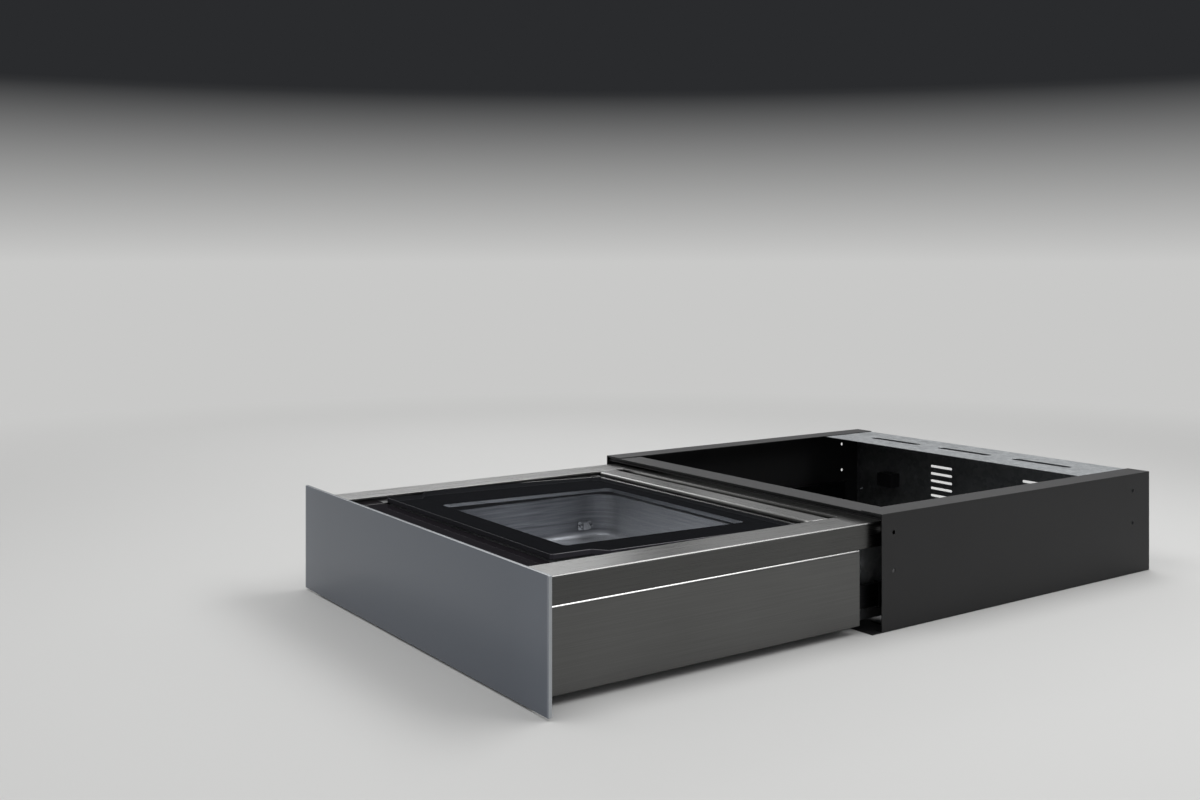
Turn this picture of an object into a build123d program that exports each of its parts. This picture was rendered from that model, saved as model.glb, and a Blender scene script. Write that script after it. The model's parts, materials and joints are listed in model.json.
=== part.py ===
from build123d import *
import math
import os

os.makedirs("parts", exist_ok=True)

# A built-in vacuum sealing drawer, drawn out to its stop, with its lid a little ajar.
# X runs to the right, Y to the back and Z up, in millimetres. The origin is on the underside
# of the casing, in the middle of the cabinet's front plane, where the front panel shuts.

# Front panel
panel_width = 597
panel_height = 135
panel_lift = 2  # lower edge above the casing's underside
glass_thickness = 4
glass_bevel = 0.5
backing_depth = 16
backing_sheet = 1.2
travel = 452.5  # from the open stop to shut
shut_gap = 0.5  # between the casing's front edges and the shut panel's backing

# Casing
casing_clearance = 11  # from the drawer's side covers to the casing's outer faces
casing_height = 138
casing_behind = 40  # deeper than the drawer's body
casing_sheet = 1
casing_lip = 16  # how far the floor reaches out under the panel
top_flange = 32
rear_flange = 16
top_bar_depth = 38
top_plate_depth = 110
rail_depth = 15
rail_height = 6
screw_radius = 2
screw_head_radius = 3.8
screw_head_height = 1.8
fixing_radius = 2.5  # holes for the screws into the cabinet's sides
fixing_front = 20
fixing_rear = 40
fixing_low = 70
fixing_spacing_z = 45

# Drawer body
body_half = 267  # centre to the face of a lower side cover
body_bottom = 10
body_depth = 500
ledge_height = 98  # top of the lower side covers
deck_height = 127
deck_sheet = 1
deck_bend = 2.5
body_sheet = 1
apron_setback = 1.2  # deck's aprons in from the lower side covers
cover_end = 25  # lower side covers end this far in front of the cabinet's front plane
tray_setback = 16  # tray's sides in from the lower side covers, room for the runners
well_margin = 47.5  # deck's opening in from the lower side covers
well_front = 3  # from the body's front to the deck's opening
well_rear = 12  # deck's opening ends this far in front of the cabinet's front plane
strip_depth = 5  # touch strip below the deck

# Touch strip
strip_width = 42
strip_glass = 3

# Lid
lid_front_margin = 23.5  # from the deck's opening
lid_rear_margin = 8.5
lid_front_run = 51  # length of the narrow front part
lid_ramp = 13
lid_corner = 4
lid_glass_thickness = 6
lid_frame_height = 7
lid_frame_inset = 2.5
lid_proud = 1  # shut lid above the touch strip
lid_gap = 2  # to the touch strip
ajar_angle = 1
hinge_behind_lid = 1.5
hinge_before_cover = 5
cover_depth = 46.8  # rear cover, from its front lip to the deck
hinge_below_top = 4.5
hinge_pin_radius = 2.5
lug_radius = 4.5
lug_width = 7.5
window_margin = 62.5  # frame's opening, from the deck's opening
window_front = 45  # from the lid's front edge
window_rear = 19.5  # from the lid's rear edge
window_corner = 14

# Chamber
chamber_margin = 54.5  # from the deck's opening
chamber_front = 29  # from the lid's front edge
chamber_rear = 18.5  # from the lid's rear edge
chamber_corner = 35
chamber_depth = 59
chamber_fillet = 10
chamber_sheet = 1.2
flange_margin = 23.5  # from the deck's opening
flange_front = 5  # from the lid's front edge
flange_rear = 1.5  # from the lid's rear edge
flange_corner = 20
gasket_width = 6
gasket_height = 2.5
gasket_margin = 37.5  # from the deck's opening
gasket_front = 16
gasket_rear = 10.5  # from the lid's rear edge
gasket_corner = 30

# Sealing bar
bar_margin = 38  # from the chamber's side walls
bar_width = 11
bar_height = 13
bar_band = 1  # heating band with its cover tape
bar_lift = 8
bar_clearance_front = 4
foot_height = 4
foot_half = 8
foot_length = 36
foot_margin = 32  # from the bar's ends
piston_radius = 3
piston_back = 28  # from the chamber's front wall

# Runners
runner_sheet = 1.2
runner_inner_half = 12  # half the inner member's height
runner_gap = 0.35
runner_height = 40  # middle of the runners above the casing's underside
runner_shortfall = 20  # shorter than the drawer's body
runner_inset = 12  # from the cabinet's front plane to the fixed members
runner_bracket_sheet = 1.5
runner_foot = 22

# Small clearances
fit_gap = 0.3
pin_clearance = 0.05
seat_gap = 0.2

# Places worked out from the sizes above
casing_half = body_half + casing_clearance
casing_inside = casing_half - casing_sheet
tray_half = body_half - tray_setback
well_half = body_half - well_margin
lid_front_half = well_half - lid_front_margin
lid_rear_half = well_half - lid_rear_margin
window_half = well_half - window_margin
chamber_half = well_half - chamber_margin
flange_half = well_half - flange_margin
gasket_half = well_half - gasket_margin
bar_half = chamber_half - bar_margin
foot_spacing = bar_half - foot_margin
body_front = -travel - shut_gap
body_rear = body_front + body_depth
casing_depth = body_depth + casing_behind
fixing_spacing_y = casing_depth - fixing_front - fixing_rear
runner_length = body_depth - runner_shortfall
panel_back = body_front - backing_depth
panel_face = panel_back - glass_thickness
well_floor = deck_height - strip_depth
well_front_y = body_front + well_front
well_rear_y = -well_rear
strip_front = well_front_y + 1
strip_rear = strip_front + strip_width
lid_top = well_floor + lid_proud
lid_front = strip_rear + lid_gap
cover_rear = well_rear_y - seat_gap
cover_front = cover_rear - cover_depth
hinge_y = cover_front - hinge_before_cover
lid_rear = hinge_y - hinge_behind_lid
lid_length = lid_rear - lid_front
hinge_z = lid_top - hinge_below_top
lid_frame_bottom = lid_top - lid_glass_thickness - lid_frame_height
gasket_bottom = lid_frame_bottom - gasket_height
flange_top = gasket_bottom - fit_gap
chassis_top = flange_top - chamber_sheet
chamber_floor = flange_top - chamber_depth
chamber_front_y = lid_front + chamber_front
chamber_rear_y = lid_rear - chamber_rear
tray_inside = tray_half - body_sheet
floor_top = body_bottom + body_sheet
deck_under = deck_height - deck_sheet
apron_half = body_half - apron_setback
skirt_front = panel_back + seat_gap  # deck and side covers reach the panel's back

# Small helpers for planes and rectangles


def level(z):
    return Plane.XY.offset(z)


def upright(y):
    return Plane.XZ.offset(-y)


def sideways(x):
    return Plane.YZ.offset(x)


def area(u0, u1, v0, v1, mode=Mode.ADD):
    """Rectangle between two opposite corners of the open sketch."""
    with Locations(((u0 + u1) / 2, (v0 + v1) / 2)):
        Rectangle(abs(u1 - u0), abs(v1 - v0), mode=mode)


def rounded_area(u0, u1, v0, v1, radius, mode=Mode.ADD):
    """The same with rounded corners."""
    with Locations(((u0 + u1) / 2, (v0 + v1) / 2)):
        RectangleRounded(abs(u1 - u0), abs(v1 - v0), radius, mode=mode)


def block(x0, x1, y0, y1, z0, z1, mode=Mode.ADD):
    """Box between two opposite corners of the open part."""
    with Locations(((x0 + x1) / 2, (y0 + y1) / 2, (z0 + z1) / 2)):
        Box(abs(x1 - x0), abs(y1 - y0), abs(z1 - z0), mode=mode)


def save(builder, name):
    builder.part.label = name
    export_step(builder.part, f"parts/{name}.step")


def save_pair(right, name):
    """Write a right-hand piece and its mirror image."""
    with BuildPart() as left:
        mirror(right.part, about=Plane.YZ)
    save(right, f"{name}_right")
    save(left, f"{name}_left")


# Casing: floor with its front lip, sides, rear wall, top bars and front rail
rear_wall_y = casing_depth - 2 * casing_sheet

with BuildPart() as casing_floor:
    block(-casing_half, casing_half, -casing_lip, casing_depth, 0, casing_sheet)
    with BuildSketch(level(casing_sheet)):
        for y in (casing_depth * 0.3, casing_depth * 0.7):
            for x in (-150, 0, 150):
                with Locations((x, y)):
                    SlotOverall(90, 10)
    extrude(amount=1.5)
    lip_edge = casing_floor.edges().filter_by(Axis.X).group_by(Axis.Y)[0].sort_by(Axis.Z)[-1]
    chamfer(lip_edge, 0.5)
save(casing_floor, "casing_floor")

with BuildPart() as casing_side:
    with BuildSketch(upright(0)):
        area(casing_inside, casing_half, casing_sheet, casing_height)
        area(casing_inside - top_flange, casing_inside, casing_height - casing_sheet, casing_height)
        area(casing_inside - 8, casing_inside, casing_sheet, 2 * casing_sheet)
    extrude(amount=-casing_depth)
    block(
        casing_inside - rear_flange,
        casing_inside,
        casing_depth - casing_sheet,
        casing_depth,
        2 * casing_sheet,
        casing_height - casing_sheet,
    )
    with BuildSketch(sideways(casing_inside)):
        for y in (fixing_front, fixing_front + fixing_spacing_y):
            for z in (fixing_low, fixing_low + fixing_spacing_z):
                with Locations((y, z)):
                    Circle(fixing_radius)
    extrude(amount=casing_sheet, mode=Mode.SUBTRACT)
    with BuildSketch(upright(casing_depth)):
        for z in (0.25 * casing_height, 0.75 * casing_height):
            with Locations((casing_inside - rear_flange / 2, z)):
                Circle(screw_radius)
    extrude(amount=casing_sheet, mode=Mode.SUBTRACT)
save_pair(casing_side, "casing_side")

inlet_x = -195
inlet_z = 62
inlet_width = 30
inlet_height = 22
vent_slot = 44

with BuildPart() as casing_rear:
    block(
        -casing_inside,
        casing_inside,
        rear_wall_y,
        casing_depth - casing_sheet,
        2 * casing_sheet,
        casing_height - 2 * casing_sheet,
    )
    with BuildSketch(upright(rear_wall_y)):
        for x in (-90, 90, 190):
            for row in range(6):
                with Locations((x, 35 + 12 * row)):
                    SlotOverall(vent_slot, 4)
        area(
            inlet_x - inlet_width / 2,
            inlet_x + inlet_width / 2,
            inlet_z - inlet_height / 2,
            inlet_z + inlet_height / 2,
        )
        for side in (-1, 1):
            for z in (0.25 * casing_height, 0.75 * casing_height):
                with Locations((side * (casing_inside - rear_flange / 2), z)):
                    Circle(screw_radius)
    extrude(amount=-casing_sheet, mode=Mode.SUBTRACT)
save(casing_rear, "casing_rear")

bar_top = casing_height - casing_sheet
bar_under = bar_top - casing_sheet

with BuildPart() as top_front_bar:
    block(-casing_inside, casing_inside, 0, top_bar_depth, bar_under, bar_top)
    # turned-down rear edge that stiffens the bar
    block(
        -casing_inside + top_flange,
        casing_inside - top_flange,
        top_bar_depth - casing_sheet,
        top_bar_depth,
        bar_under - 4,
        bar_under,
    )
save(top_front_bar, "top_front_bar")

with BuildPart() as top_rear_plate:
    block(-casing_inside, casing_inside, casing_depth - top_plate_depth, rear_wall_y, bar_under, bar_top)
    with BuildSketch(level(bar_under)):
        for x in (-140, 0, 140):
            with Locations((x, casing_depth - top_plate_depth / 2)):
                SlotOverall(100, 14)
    extrude(amount=casing_sheet, mode=Mode.SUBTRACT)
save(top_rear_plate, "top_rear_plate")

rail_front = 3
rail_half = casing_inside - 1

with BuildPart() as front_rail:
    block(-rail_half, rail_half, rail_front, rail_front + rail_depth, bar_under - rail_height, bar_under)
    # thin groove along its face
    block(
        -rail_half,
        rail_half,
        rail_front,
        rail_front + 0.8,
        bar_under - rail_height / 2 - 0.6,
        bar_under - rail_height / 2 + 0.6,
        mode=Mode.SUBTRACT,
    )
    # hollow from above
    block(
        -rail_half + 4,
        rail_half - 4,
        rail_front + 3,
        rail_front + rail_depth - 3,
        bar_under - 4,
        bar_under,
        mode=Mode.SUBTRACT,
    )
save(front_rail, "front_rail")

with BuildPart() as casing_screws:
    for side in (-1, 1):
        for z in (0.25 * casing_height, 0.75 * casing_height):
            x = side * (casing_inside - rear_flange / 2)
            with BuildSketch(Plane(origin=(x, rear_wall_y - 3, z), x_dir=(1, 0, 0), z_dir=(0, 1, 0))):
                Circle(screw_radius)
            extrude(amount=casing_depth - rear_wall_y + 3)
            with BuildSketch(Plane(origin=(x, casing_depth, z), x_dir=(1, 0, 0), z_dir=(0, 1, 0))):
                Circle(screw_head_radius)
            extrude(amount=screw_head_height)
save(casing_screws, "casing_screws")

inlet_flange = 5
inlet_reach = 24

with BuildPart() as mains_inlet:
    block(
        inlet_x - inlet_width / 2,
        inlet_x + inlet_width / 2,
        casing_depth - inlet_reach,
        casing_depth - casing_sheet,
        inlet_z - inlet_height / 2,
        inlet_z + inlet_height / 2,
    )
    with BuildSketch(upright(casing_depth - casing_sheet)):
        rounded_area(
            inlet_x - inlet_width / 2 - inlet_flange,
            inlet_x + inlet_width / 2 + inlet_flange,
            inlet_z - inlet_height / 2 - inlet_flange,
            inlet_z + inlet_height / 2 + inlet_flange,
            3,
        )
    extrude(amount=-3)
    with BuildSketch(upright(casing_depth - casing_sheet + 3)):
        rounded_area(
            inlet_x - inlet_width / 2 + 2.5,
            inlet_x + inlet_width / 2 - 2.5,
            inlet_z - inlet_height / 2 + 2.5,
            inlet_z + inlet_height / 2 - 2.5,
            2,
        )
    extrude(amount=18, mode=Mode.SUBTRACT)
    for dx in (-7, 0, 7):
        block(
            inlet_x + dx - 1,
            inlet_x + dx + 1,
            casing_depth - casing_sheet - 15,
            casing_depth - casing_sheet + 1,
            inlet_z - 2,
            inlet_z + 2,
        )
save(mains_inlet, "mains_inlet")

# Touch-open latch: a sprung plunger that the drawer's rear wall meets when shut
shut_rear = body_rear + travel
latch_z = 40
latch_half = 16
plunger_radius = 5
plunger_travel = 8
plunger_tip = shut_rear + fit_gap
latch_face = plunger_tip + plunger_travel + 2.5
plunger_length = rear_wall_y - plunger_tip - plunger_travel - 3

with BuildPart() as latch_housing:
    block(-latch_half, latch_half, latch_face, rear_wall_y, latch_z - latch_half, latch_z + latch_half)
    fillet(latch_housing.edges().filter_by(Axis.Y), 3)
    with BuildSketch(Plane(origin=(0, latch_face, latch_z), x_dir=(1, 0, 0), z_dir=(0, 1, 0))):
        Circle(plunger_radius + pin_clearance)
    extrude(amount=rear_wall_y - latch_face - 1, mode=Mode.SUBTRACT)
save(latch_housing, "latch_housing")

with BuildPart() as latch_plunger:
    with BuildSketch(Plane(origin=(0, plunger_tip, latch_z), x_dir=(1, 0, 0), z_dir=(0, 1, 0))):
        Circle(plunger_radius)
    extrude(amount=plunger_length)
    fillet(latch_plunger.edges().sort_by(Axis.Y)[0], 2)
save(latch_plunger, "latch_plunger")

# Runners: nested channels, the fixed one outermost on a bracket that stands on the casing floor
inner_web = tray_half
inner_reach = 8
middle_half = runner_inner_half + runner_gap
fixed_half = middle_half + runner_sheet + runner_gap
middle_web = inner_web + inner_reach + runner_gap
fixed_web = middle_web + runner_sheet + runner_gap
bracket_face = fixed_web + runner_bracket_sheet
fixed_front = runner_inset


def channel(web, half, sheet, reach):
    """Channel across X, centred on the runners' height: a web and two flanges.

    web is where the web's near face stands, half is the clear half height between the flanges,
    and reach is how far the flanges run from that face, to the left where it is negative.
    """
    thick = sheet if reach > 0 else -sheet
    area(web, web - thick, runner_height - half - sheet, runner_height + half + sheet)
    for side in (-1, 1):
        near = runner_height + side * half
        area(web, web + reach, near, near + side * sheet)


with BuildPart() as runners_inner:
    with BuildSketch(upright(body_front + 4)):
        channel(
            inner_web + runner_sheet,
            runner_inner_half - runner_sheet,
            runner_sheet,
            inner_reach - runner_sheet,
        )
    extrude(amount=-runner_length)
    mirror(about=Plane.YZ)
save(runners_inner, "runners_inner")

with BuildPart() as runner_middle:
    with BuildSketch(upright(fixed_front - travel / 2)):
        channel(middle_web, middle_half, runner_sheet, inner_web + 2 - middle_web)
    extrude(amount=-runner_length)
save_pair(runner_middle, "runner_middle")

with BuildPart() as runners_fixed:
    with BuildSketch(upright(fixed_front)):
        channel(fixed_web, fixed_half, runner_bracket_sheet, inner_web + 3 - fixed_web)
    extrude(amount=-runner_length)
    mirror(about=Plane.YZ)
save(runners_fixed, "runners_fixed")

bracket_length = 60

with BuildPart() as runner_brackets:
    for y in (fixed_front + 10, fixed_front + runner_length - 10 - bracket_length):
        block(
            bracket_face,
            bracket_face + runner_bracket_sheet - 0.3,
            y,
            y + bracket_length,
            casing_sheet,
            runner_height + 10,
        )
        block(
            bracket_face - runner_foot,
            bracket_face,
            y,
            y + bracket_length,
            casing_sheet,
            casing_sheet + runner_bracket_sheet,
        )
    mirror(about=Plane.YZ)
save(runner_brackets, "runner_brackets")

# Front panel and its backing
with BuildPart() as front_glass:
    with BuildSketch(upright(panel_face)):
        rounded_area(-panel_width / 2, panel_width / 2, panel_lift, panel_lift + panel_height, 1)
    extrude(amount=-glass_thickness)
    chamfer(front_glass.faces().sort_by(Axis.Y)[0].edges(), glass_bevel)
    chamfer(front_glass.faces().sort_by(Axis.Y)[-1].edges(), glass_bevel)
save(front_glass, "front_glass")

backing_half = tray_half - seat_gap
backing_low = body_bottom
backing_high = deck_under - seat_gap

with BuildPart() as front_backing:
    with BuildSketch(upright(panel_back)):
        rounded_area(-backing_half, backing_half, backing_low, backing_high, 3)
    extrude(amount=-backing_depth)
    with BuildSketch(upright(panel_back + backing_sheet)):
        rounded_area(
            -backing_half + backing_sheet,
            backing_half - backing_sheet,
            backing_low + backing_sheet,
            backing_high - backing_sheet,
            2,
        )
    extrude(amount=-backing_depth, mode=Mode.SUBTRACT)
save(front_backing, "front_backing")

bracket_x = 200
bracket_half = 18
bracket_low = 30
bracket_high = 100
bracket_wall = 3

with BuildPart() as panel_brackets:
    for side in (-1, 1):
        block(
            side * bracket_x - bracket_half,
            side * bracket_x + bracket_half,
            panel_back + backing_sheet,
            body_front,
            bracket_low,
            bracket_high,
        )
        block(
            side * bracket_x - bracket_half + bracket_wall,
            side * bracket_x + bracket_half - bracket_wall,
            panel_back + backing_sheet + bracket_wall,
            body_front - bracket_wall,
            bracket_low,
            bracket_high,
            mode=Mode.SUBTRACT,
        )
save(panel_brackets, "panel_brackets")

# Tray that carries the drawer's insides
with BuildPart() as tray_floor:
    block(-tray_half, tray_half, body_front, body_rear, body_bottom, floor_top)
    with BuildSketch(level(body_bottom)):
        for x in (-120, 0, 120):
            with Locations((x, body_front + 40)):
                SlotOverall(80, 5)
    extrude(amount=body_sheet, mode=Mode.SUBTRACT)
save(tray_floor, "tray_floor")

with BuildPart() as tray_sides:
    with BuildSketch(upright(body_front)):
        area(tray_inside, tray_half, floor_top, deck_under)
        area(tray_half, apron_half - deck_bend - seat_gap, deck_under - body_sheet, deck_under)
    extrude(amount=-body_depth)
    mirror(about=Plane.YZ)
save(tray_sides, "tray_sides")

with BuildPart() as tray_front:
    block(-tray_inside, tray_inside, body_front, body_front + body_sheet, floor_top, deck_under)
save(tray_front, "tray_front")

fan_x = -190
fan_z = 62
fan_size = 60
fan_depth = 18
fan_bore = 27

with BuildPart() as tray_rear:
    block(-tray_inside, tray_inside, body_rear - body_sheet, body_rear, floor_top, deck_under)
    with BuildSketch(upright(body_rear - body_sheet)):
        # ring slots in front of the fan, and slots behind the pump
        for ring in (9, 16, 23):
            with Locations((fan_x, fan_z)):
                Circle(ring + 2)
                Circle(ring - 2, mode=Mode.SUBTRACT)
        area(fan_x - 1.5, fan_x + 1.5, fan_z - 28, fan_z + 28, mode=Mode.SUBTRACT)
        area(fan_x - 28, fan_x + 28, fan_z - 1.5, fan_z + 1.5, mode=Mode.SUBTRACT)
        for row in range(5):
            with Locations((150, 40 + 12 * row)):
                SlotOverall(120, 4)
    extrude(amount=-body_sheet, mode=Mode.SUBTRACT)
save(tray_rear, "tray_rear")

# Lower side covers: their rounded top edge is the ledge
with BuildPart() as side_cover:
    with BuildSketch(upright(skirt_front)):
        area(body_half - body_sheet, body_half, body_bottom, ledge_height)
        area(tray_half, body_half, ledge_height - body_sheet, ledge_height)
    extrude(amount=skirt_front - body_front - travel + cover_end)
    ledge_edge = side_cover.edges().filter_by(Axis.Y).group_by(Axis.X)[-1].sort_by(Axis.Z)[-1]
    fillet(ledge_edge, 0.9)
save_pair(side_cover, "side_cover")

# Deck: stainless top with rounded bends, side aprons and turned-down well edges
with BuildPart() as deck:
    block(-apron_half, apron_half, skirt_front, body_rear, ledge_height, deck_height)
    fillet(deck.faces().sort_by(Axis.Z)[-1].edges().filter_by(Axis.Y), deck_bend)
    with BuildPart(mode=Mode.SUBTRACT):
        block(
            -apron_half + deck_sheet,
            apron_half - deck_sheet,
            skirt_front,
            body_rear,
            ledge_height,
            deck_under,
        )
        inner_edges = [e for e in edges().filter_by(Axis.Y) if e.center().Z > deck_under - 0.1]
        fillet(inner_edges, deck_bend - deck_sheet)
    block(-well_half, well_half, well_front_y, well_rear_y, deck_under, deck_height, mode=Mode.SUBTRACT)
    # turned-down edges of the well, at both sides and at the rear
    for side in (-1, 1):
        edge = side * (well_half + deck_sheet)
        block(side * well_half, edge, well_front_y, well_rear_y, well_floor - 4, deck_under)
    block(
        -well_half - deck_sheet,
        well_half + deck_sheet,
        well_rear_y,
        well_rear_y + deck_sheet,
        well_floor - 4,
        deck_under,
    )
save(deck, "deck")

# Chassis plate under the chamber's flange
chassis_front = body_front + body_sheet
chassis_rear = hinge_y + 12

with BuildPart() as chassis_plate:
    block(-tray_inside, tray_inside, chassis_front, chassis_rear, chassis_top - 1.2, chassis_top)
    with BuildSketch(level(chassis_top - 1.2)):
        rounded_area(
            -chamber_half - chamber_sheet - seat_gap,
            chamber_half + chamber_sheet + seat_gap,
            chamber_front_y - chamber_sheet - seat_gap,
            chamber_rear_y + chamber_sheet + seat_gap,
            chamber_corner + chamber_sheet,
        )
    extrude(amount=1.2, mode=Mode.SUBTRACT)
save(chassis_plate, "chassis_plate")

# Touch strip, its board and the carrier that holds both
carrier_half = well_half - seat_gap
strip_under = well_floor - strip_glass

with BuildPart() as touch_glass:
    with BuildSketch(level(strip_under)):
        rounded_area(-carrier_half, carrier_half, strip_front, strip_rear, 1)
    extrude(amount=strip_glass)
    chamfer(touch_glass.faces().sort_by(Axis.Z)[-1].edges(), 0.4)
save(touch_glass, "touch_glass")

board_thickness = 1.6

with BuildPart() as touch_carrier:
    block(-carrier_half, carrier_half, strip_front, strip_rear, chassis_top, strip_under)
    block(
        -carrier_half + 2,
        carrier_half - 2,
        strip_front + 2,
        strip_rear - 2,
        chassis_top + 2,
        strip_under,
        mode=Mode.SUBTRACT,
    )
    for x in (-160, -80, 0, 80, 160):
        for y in (strip_front + 8, strip_rear - 8):
            with Locations((x, y, (chassis_top + strip_under - board_thickness) / 2 + 1)):
                Cylinder(3, strip_under - board_thickness - chassis_top - 2)
save(touch_carrier, "touch_carrier")

with BuildPart() as touch_board:
    block(
        -carrier_half + 3,
        carrier_half - 3,
        strip_front + 3,
        strip_rear - 3,
        strip_under - board_thickness,
        strip_under,
    )
    for x in (-140, -100, -20, 30, 110):
        block(
            x - 6,
            x + 6,
            strip_front + 18,
            strip_front + 28,
            strip_under - board_thickness - 2.5,
            strip_under - board_thickness,
        )
save(touch_board, "touch_board")

# Chamber: a deep-drawn tub with rounded corners and a flange that lies on the chassis plate
spigot_y = chamber_rear_y - chamber_corner - 4
spigot_z = chamber_floor + 17
spigot_radius = 5

with BuildPart() as chamber_tub:
    with BuildSketch(level(chamber_floor - chamber_sheet)):
        rounded_area(
            -chamber_half - chamber_sheet,
            chamber_half + chamber_sheet,
            chamber_front_y - chamber_sheet,
            chamber_rear_y + chamber_sheet,
            chamber_corner + chamber_sheet,
        )
    extrude(amount=chamber_depth + chamber_sheet)
    fillet(chamber_tub.faces().sort_by(Axis.Z)[0].edges(), chamber_fillet + chamber_sheet)
    with BuildSketch(level(chassis_top)):
        rounded_area(
            -flange_half,
            flange_half,
            lid_front + flange_front,
            lid_rear - flange_rear,
            flange_corner,
        )
    extrude(amount=chamber_sheet)
    with BuildPart(mode=Mode.SUBTRACT):
        with BuildSketch(level(chamber_floor)):
            rounded_area(-chamber_half, chamber_half, chamber_front_y, chamber_rear_y, chamber_corner)
        extrude(amount=chamber_depth)
        fillet(faces().sort_by(Axis.Z)[0].edges(), chamber_fillet)
    # holes for the lift pistons and for the suction spigot
    with BuildSketch(level(chamber_floor - chamber_sheet)):
        for side in (-1, 1):
            with Locations((side * foot_spacing, chamber_front_y + piston_back)):
                Circle(piston_radius + pin_clearance)
    extrude(amount=chamber_sheet, mode=Mode.SUBTRACT)
    with BuildSketch(sideways(-chamber_half - chamber_sheet)):
        with Locations((spigot_y, spigot_z)):
            Circle(spigot_radius)
    extrude(amount=chamber_sheet, mode=Mode.SUBTRACT)
save(chamber_tub, "chamber_tub")

# Suction fitting inside the chamber, its back moulded to the wall, with a spigot for the hose
spigot_length = 14
filter_reach = 9

with BuildPart() as suction_filter:
    block(
        -chamber_half,
        -chamber_half + filter_reach,
        spigot_y - 7,
        spigot_y + 17,
        spigot_z - 6.5,
        spigot_z + 6.5,
    )
    fillet(suction_filter.edges().filter_by(Axis.X), 2.5)
    with BuildSketch(level(chamber_floor)):
        rounded_area(-chamber_half, chamber_half, chamber_front_y, chamber_rear_y, chamber_corner)
    extrude(amount=chamber_depth, mode=Mode.INTERSECT)
    with BuildSketch(sideways(-chamber_half + filter_reach)):
        for row in (-3, 0, 3):
            with Locations((spigot_y + 4, spigot_z + row)):
                SlotOverall(14, 1.4)
    extrude(amount=-3, mode=Mode.SUBTRACT)
    with BuildSketch(sideways(-chamber_half)):
        with Locations((spigot_y, spigot_z)):
            Circle(spigot_radius)
    extrude(amount=-spigot_length)
save(suction_filter, "suction_filter")

# Black surround on both sides of the lid, stepped as the lid is
surround_gap = 1.5
surround_rear = hinge_y - 11

with BuildPart() as lid_surround:
    with BuildSketch(level(chassis_top)):
        with BuildLine():
            Polyline(
                (carrier_half, strip_rear + seat_gap),
                (lid_front_half + surround_gap, strip_rear + seat_gap),
                (lid_front_half + surround_gap, lid_front + lid_front_run),
                (lid_rear_half + surround_gap, lid_front + lid_front_run + lid_ramp),
                (lid_rear_half + surround_gap, surround_rear),
                (carrier_half, surround_rear),
                close=True,
            )
        make_face()
    extrude(amount=well_floor - chassis_top)
    # hollow below its wide front part
    block(
        lid_front_half + surround_gap + 2,
        carrier_half - 2,
        strip_rear + 3,
        lid_front + lid_front_run - 3,
        chassis_top,
        well_floor - 3,
        mode=Mode.SUBTRACT,
    )
    chamfer(lid_surround.faces().sort_by(Axis.Z)[-1].edges(), 0.4)
save_pair(lid_surround, "lid_surround")

# Hinge: blocks on the chassis plate, pins fixed in them
block_half = 8
block_inner = lid_rear_half + 1.3

with BuildPart() as hinge_blocks:
    block(block_inner, carrier_half, hinge_y - block_half, hinge_y + block_half, chassis_top, well_floor)
    fillet(hinge_blocks.edges().filter_by(Axis.X).group_by(Axis.Z)[-1], 3)
    with BuildSketch(sideways(block_inner)):
        with Locations((hinge_y, hinge_z)):
            Circle(hinge_pin_radius)
    extrude(amount=carrier_half - block_inner, mode=Mode.SUBTRACT)
    mirror(about=Plane.YZ)
save(hinge_blocks, "hinge_blocks")

with BuildPart() as hinge_pins:
    with BuildSketch(sideways(lid_rear_half - lug_width)):
        with Locations((hinge_y, hinge_z)):
            Circle(hinge_pin_radius)
    extrude(amount=carrier_half - lid_rear_half + lug_width)
    mirror(about=Plane.YZ)
save(hinge_pins, "hinge_pins")

# Lid, built on a plane through the hinge axis that is tilted by the ajar angle.
# On that plane y = 0 is the hinge axis and the lid's front edge is at -reach.
ajar = math.radians(ajar_angle)
lid_plane = Plane(
    origin=(0, hinge_y, hinge_z), x_dir=(1, 0, 0), z_dir=(0, math.sin(ajar), math.cos(ajar))
)
reach = lid_length + hinge_behind_lid
glass_under = hinge_below_top - lid_glass_thickness
frame_under = glass_under - lid_frame_height
notch_length = 11
arm_length = 32
notch_width = lug_width + 1


def lid_outline(inset, notch):
    """Stepped outline of the lid, narrow in front, with a notch at each rear corner for the hinge."""
    front = -reach + inset
    step = -reach + lid_front_run + inset * 0.4
    rear = -hinge_behind_lid - inset
    narrow = lid_front_half - inset
    wide = lid_rear_half - inset
    notched = lid_rear_half - notch_width
    right = [
        (narrow, front),
        (narrow, step),
        (wide, step + lid_ramp),
        (wide, -notch),
        (notched, -notch),
        (notched, rear),
    ]
    left = [(-x, y) for x, y in reversed(right)]
    return right + left


window_y0 = -reach + window_front
window_y1 = -hinge_behind_lid - window_rear

with BuildPart() as lid_glass:
    with BuildSketch(lid_plane.offset(glass_under)):
        with BuildLine():
            Polyline(*lid_outline(0, notch_length), close=True)
        make_face()
    extrude(amount=lid_glass_thickness)
    front_edges = lid_glass.edges().filter_by(Axis(lid_plane.origin, lid_plane.z_dir)).group_by(Axis.Y)[0]
    fillet(front_edges, lid_corner)
save(lid_glass, "lid_glass")

with BuildPart() as lid_frame:
    with BuildSketch(lid_plane.offset(frame_under)):
        with BuildLine():
            Polyline(*lid_outline(lid_frame_inset, arm_length + 1), close=True)
        make_face()
        rounded_area(-window_half, window_half, window_y0, window_y1, window_corner, mode=Mode.SUBTRACT)
    extrude(amount=lid_frame_height)
    front_edges = lid_frame.edges().filter_by(Axis(lid_plane.origin, lid_plane.z_dir)).group_by(Axis.Y)[0]
    fillet(front_edges, lid_corner)
save(lid_frame, "lid_frame")

gasket_y0 = -reach + gasket_front
gasket_y1 = -hinge_behind_lid - gasket_rear

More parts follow.
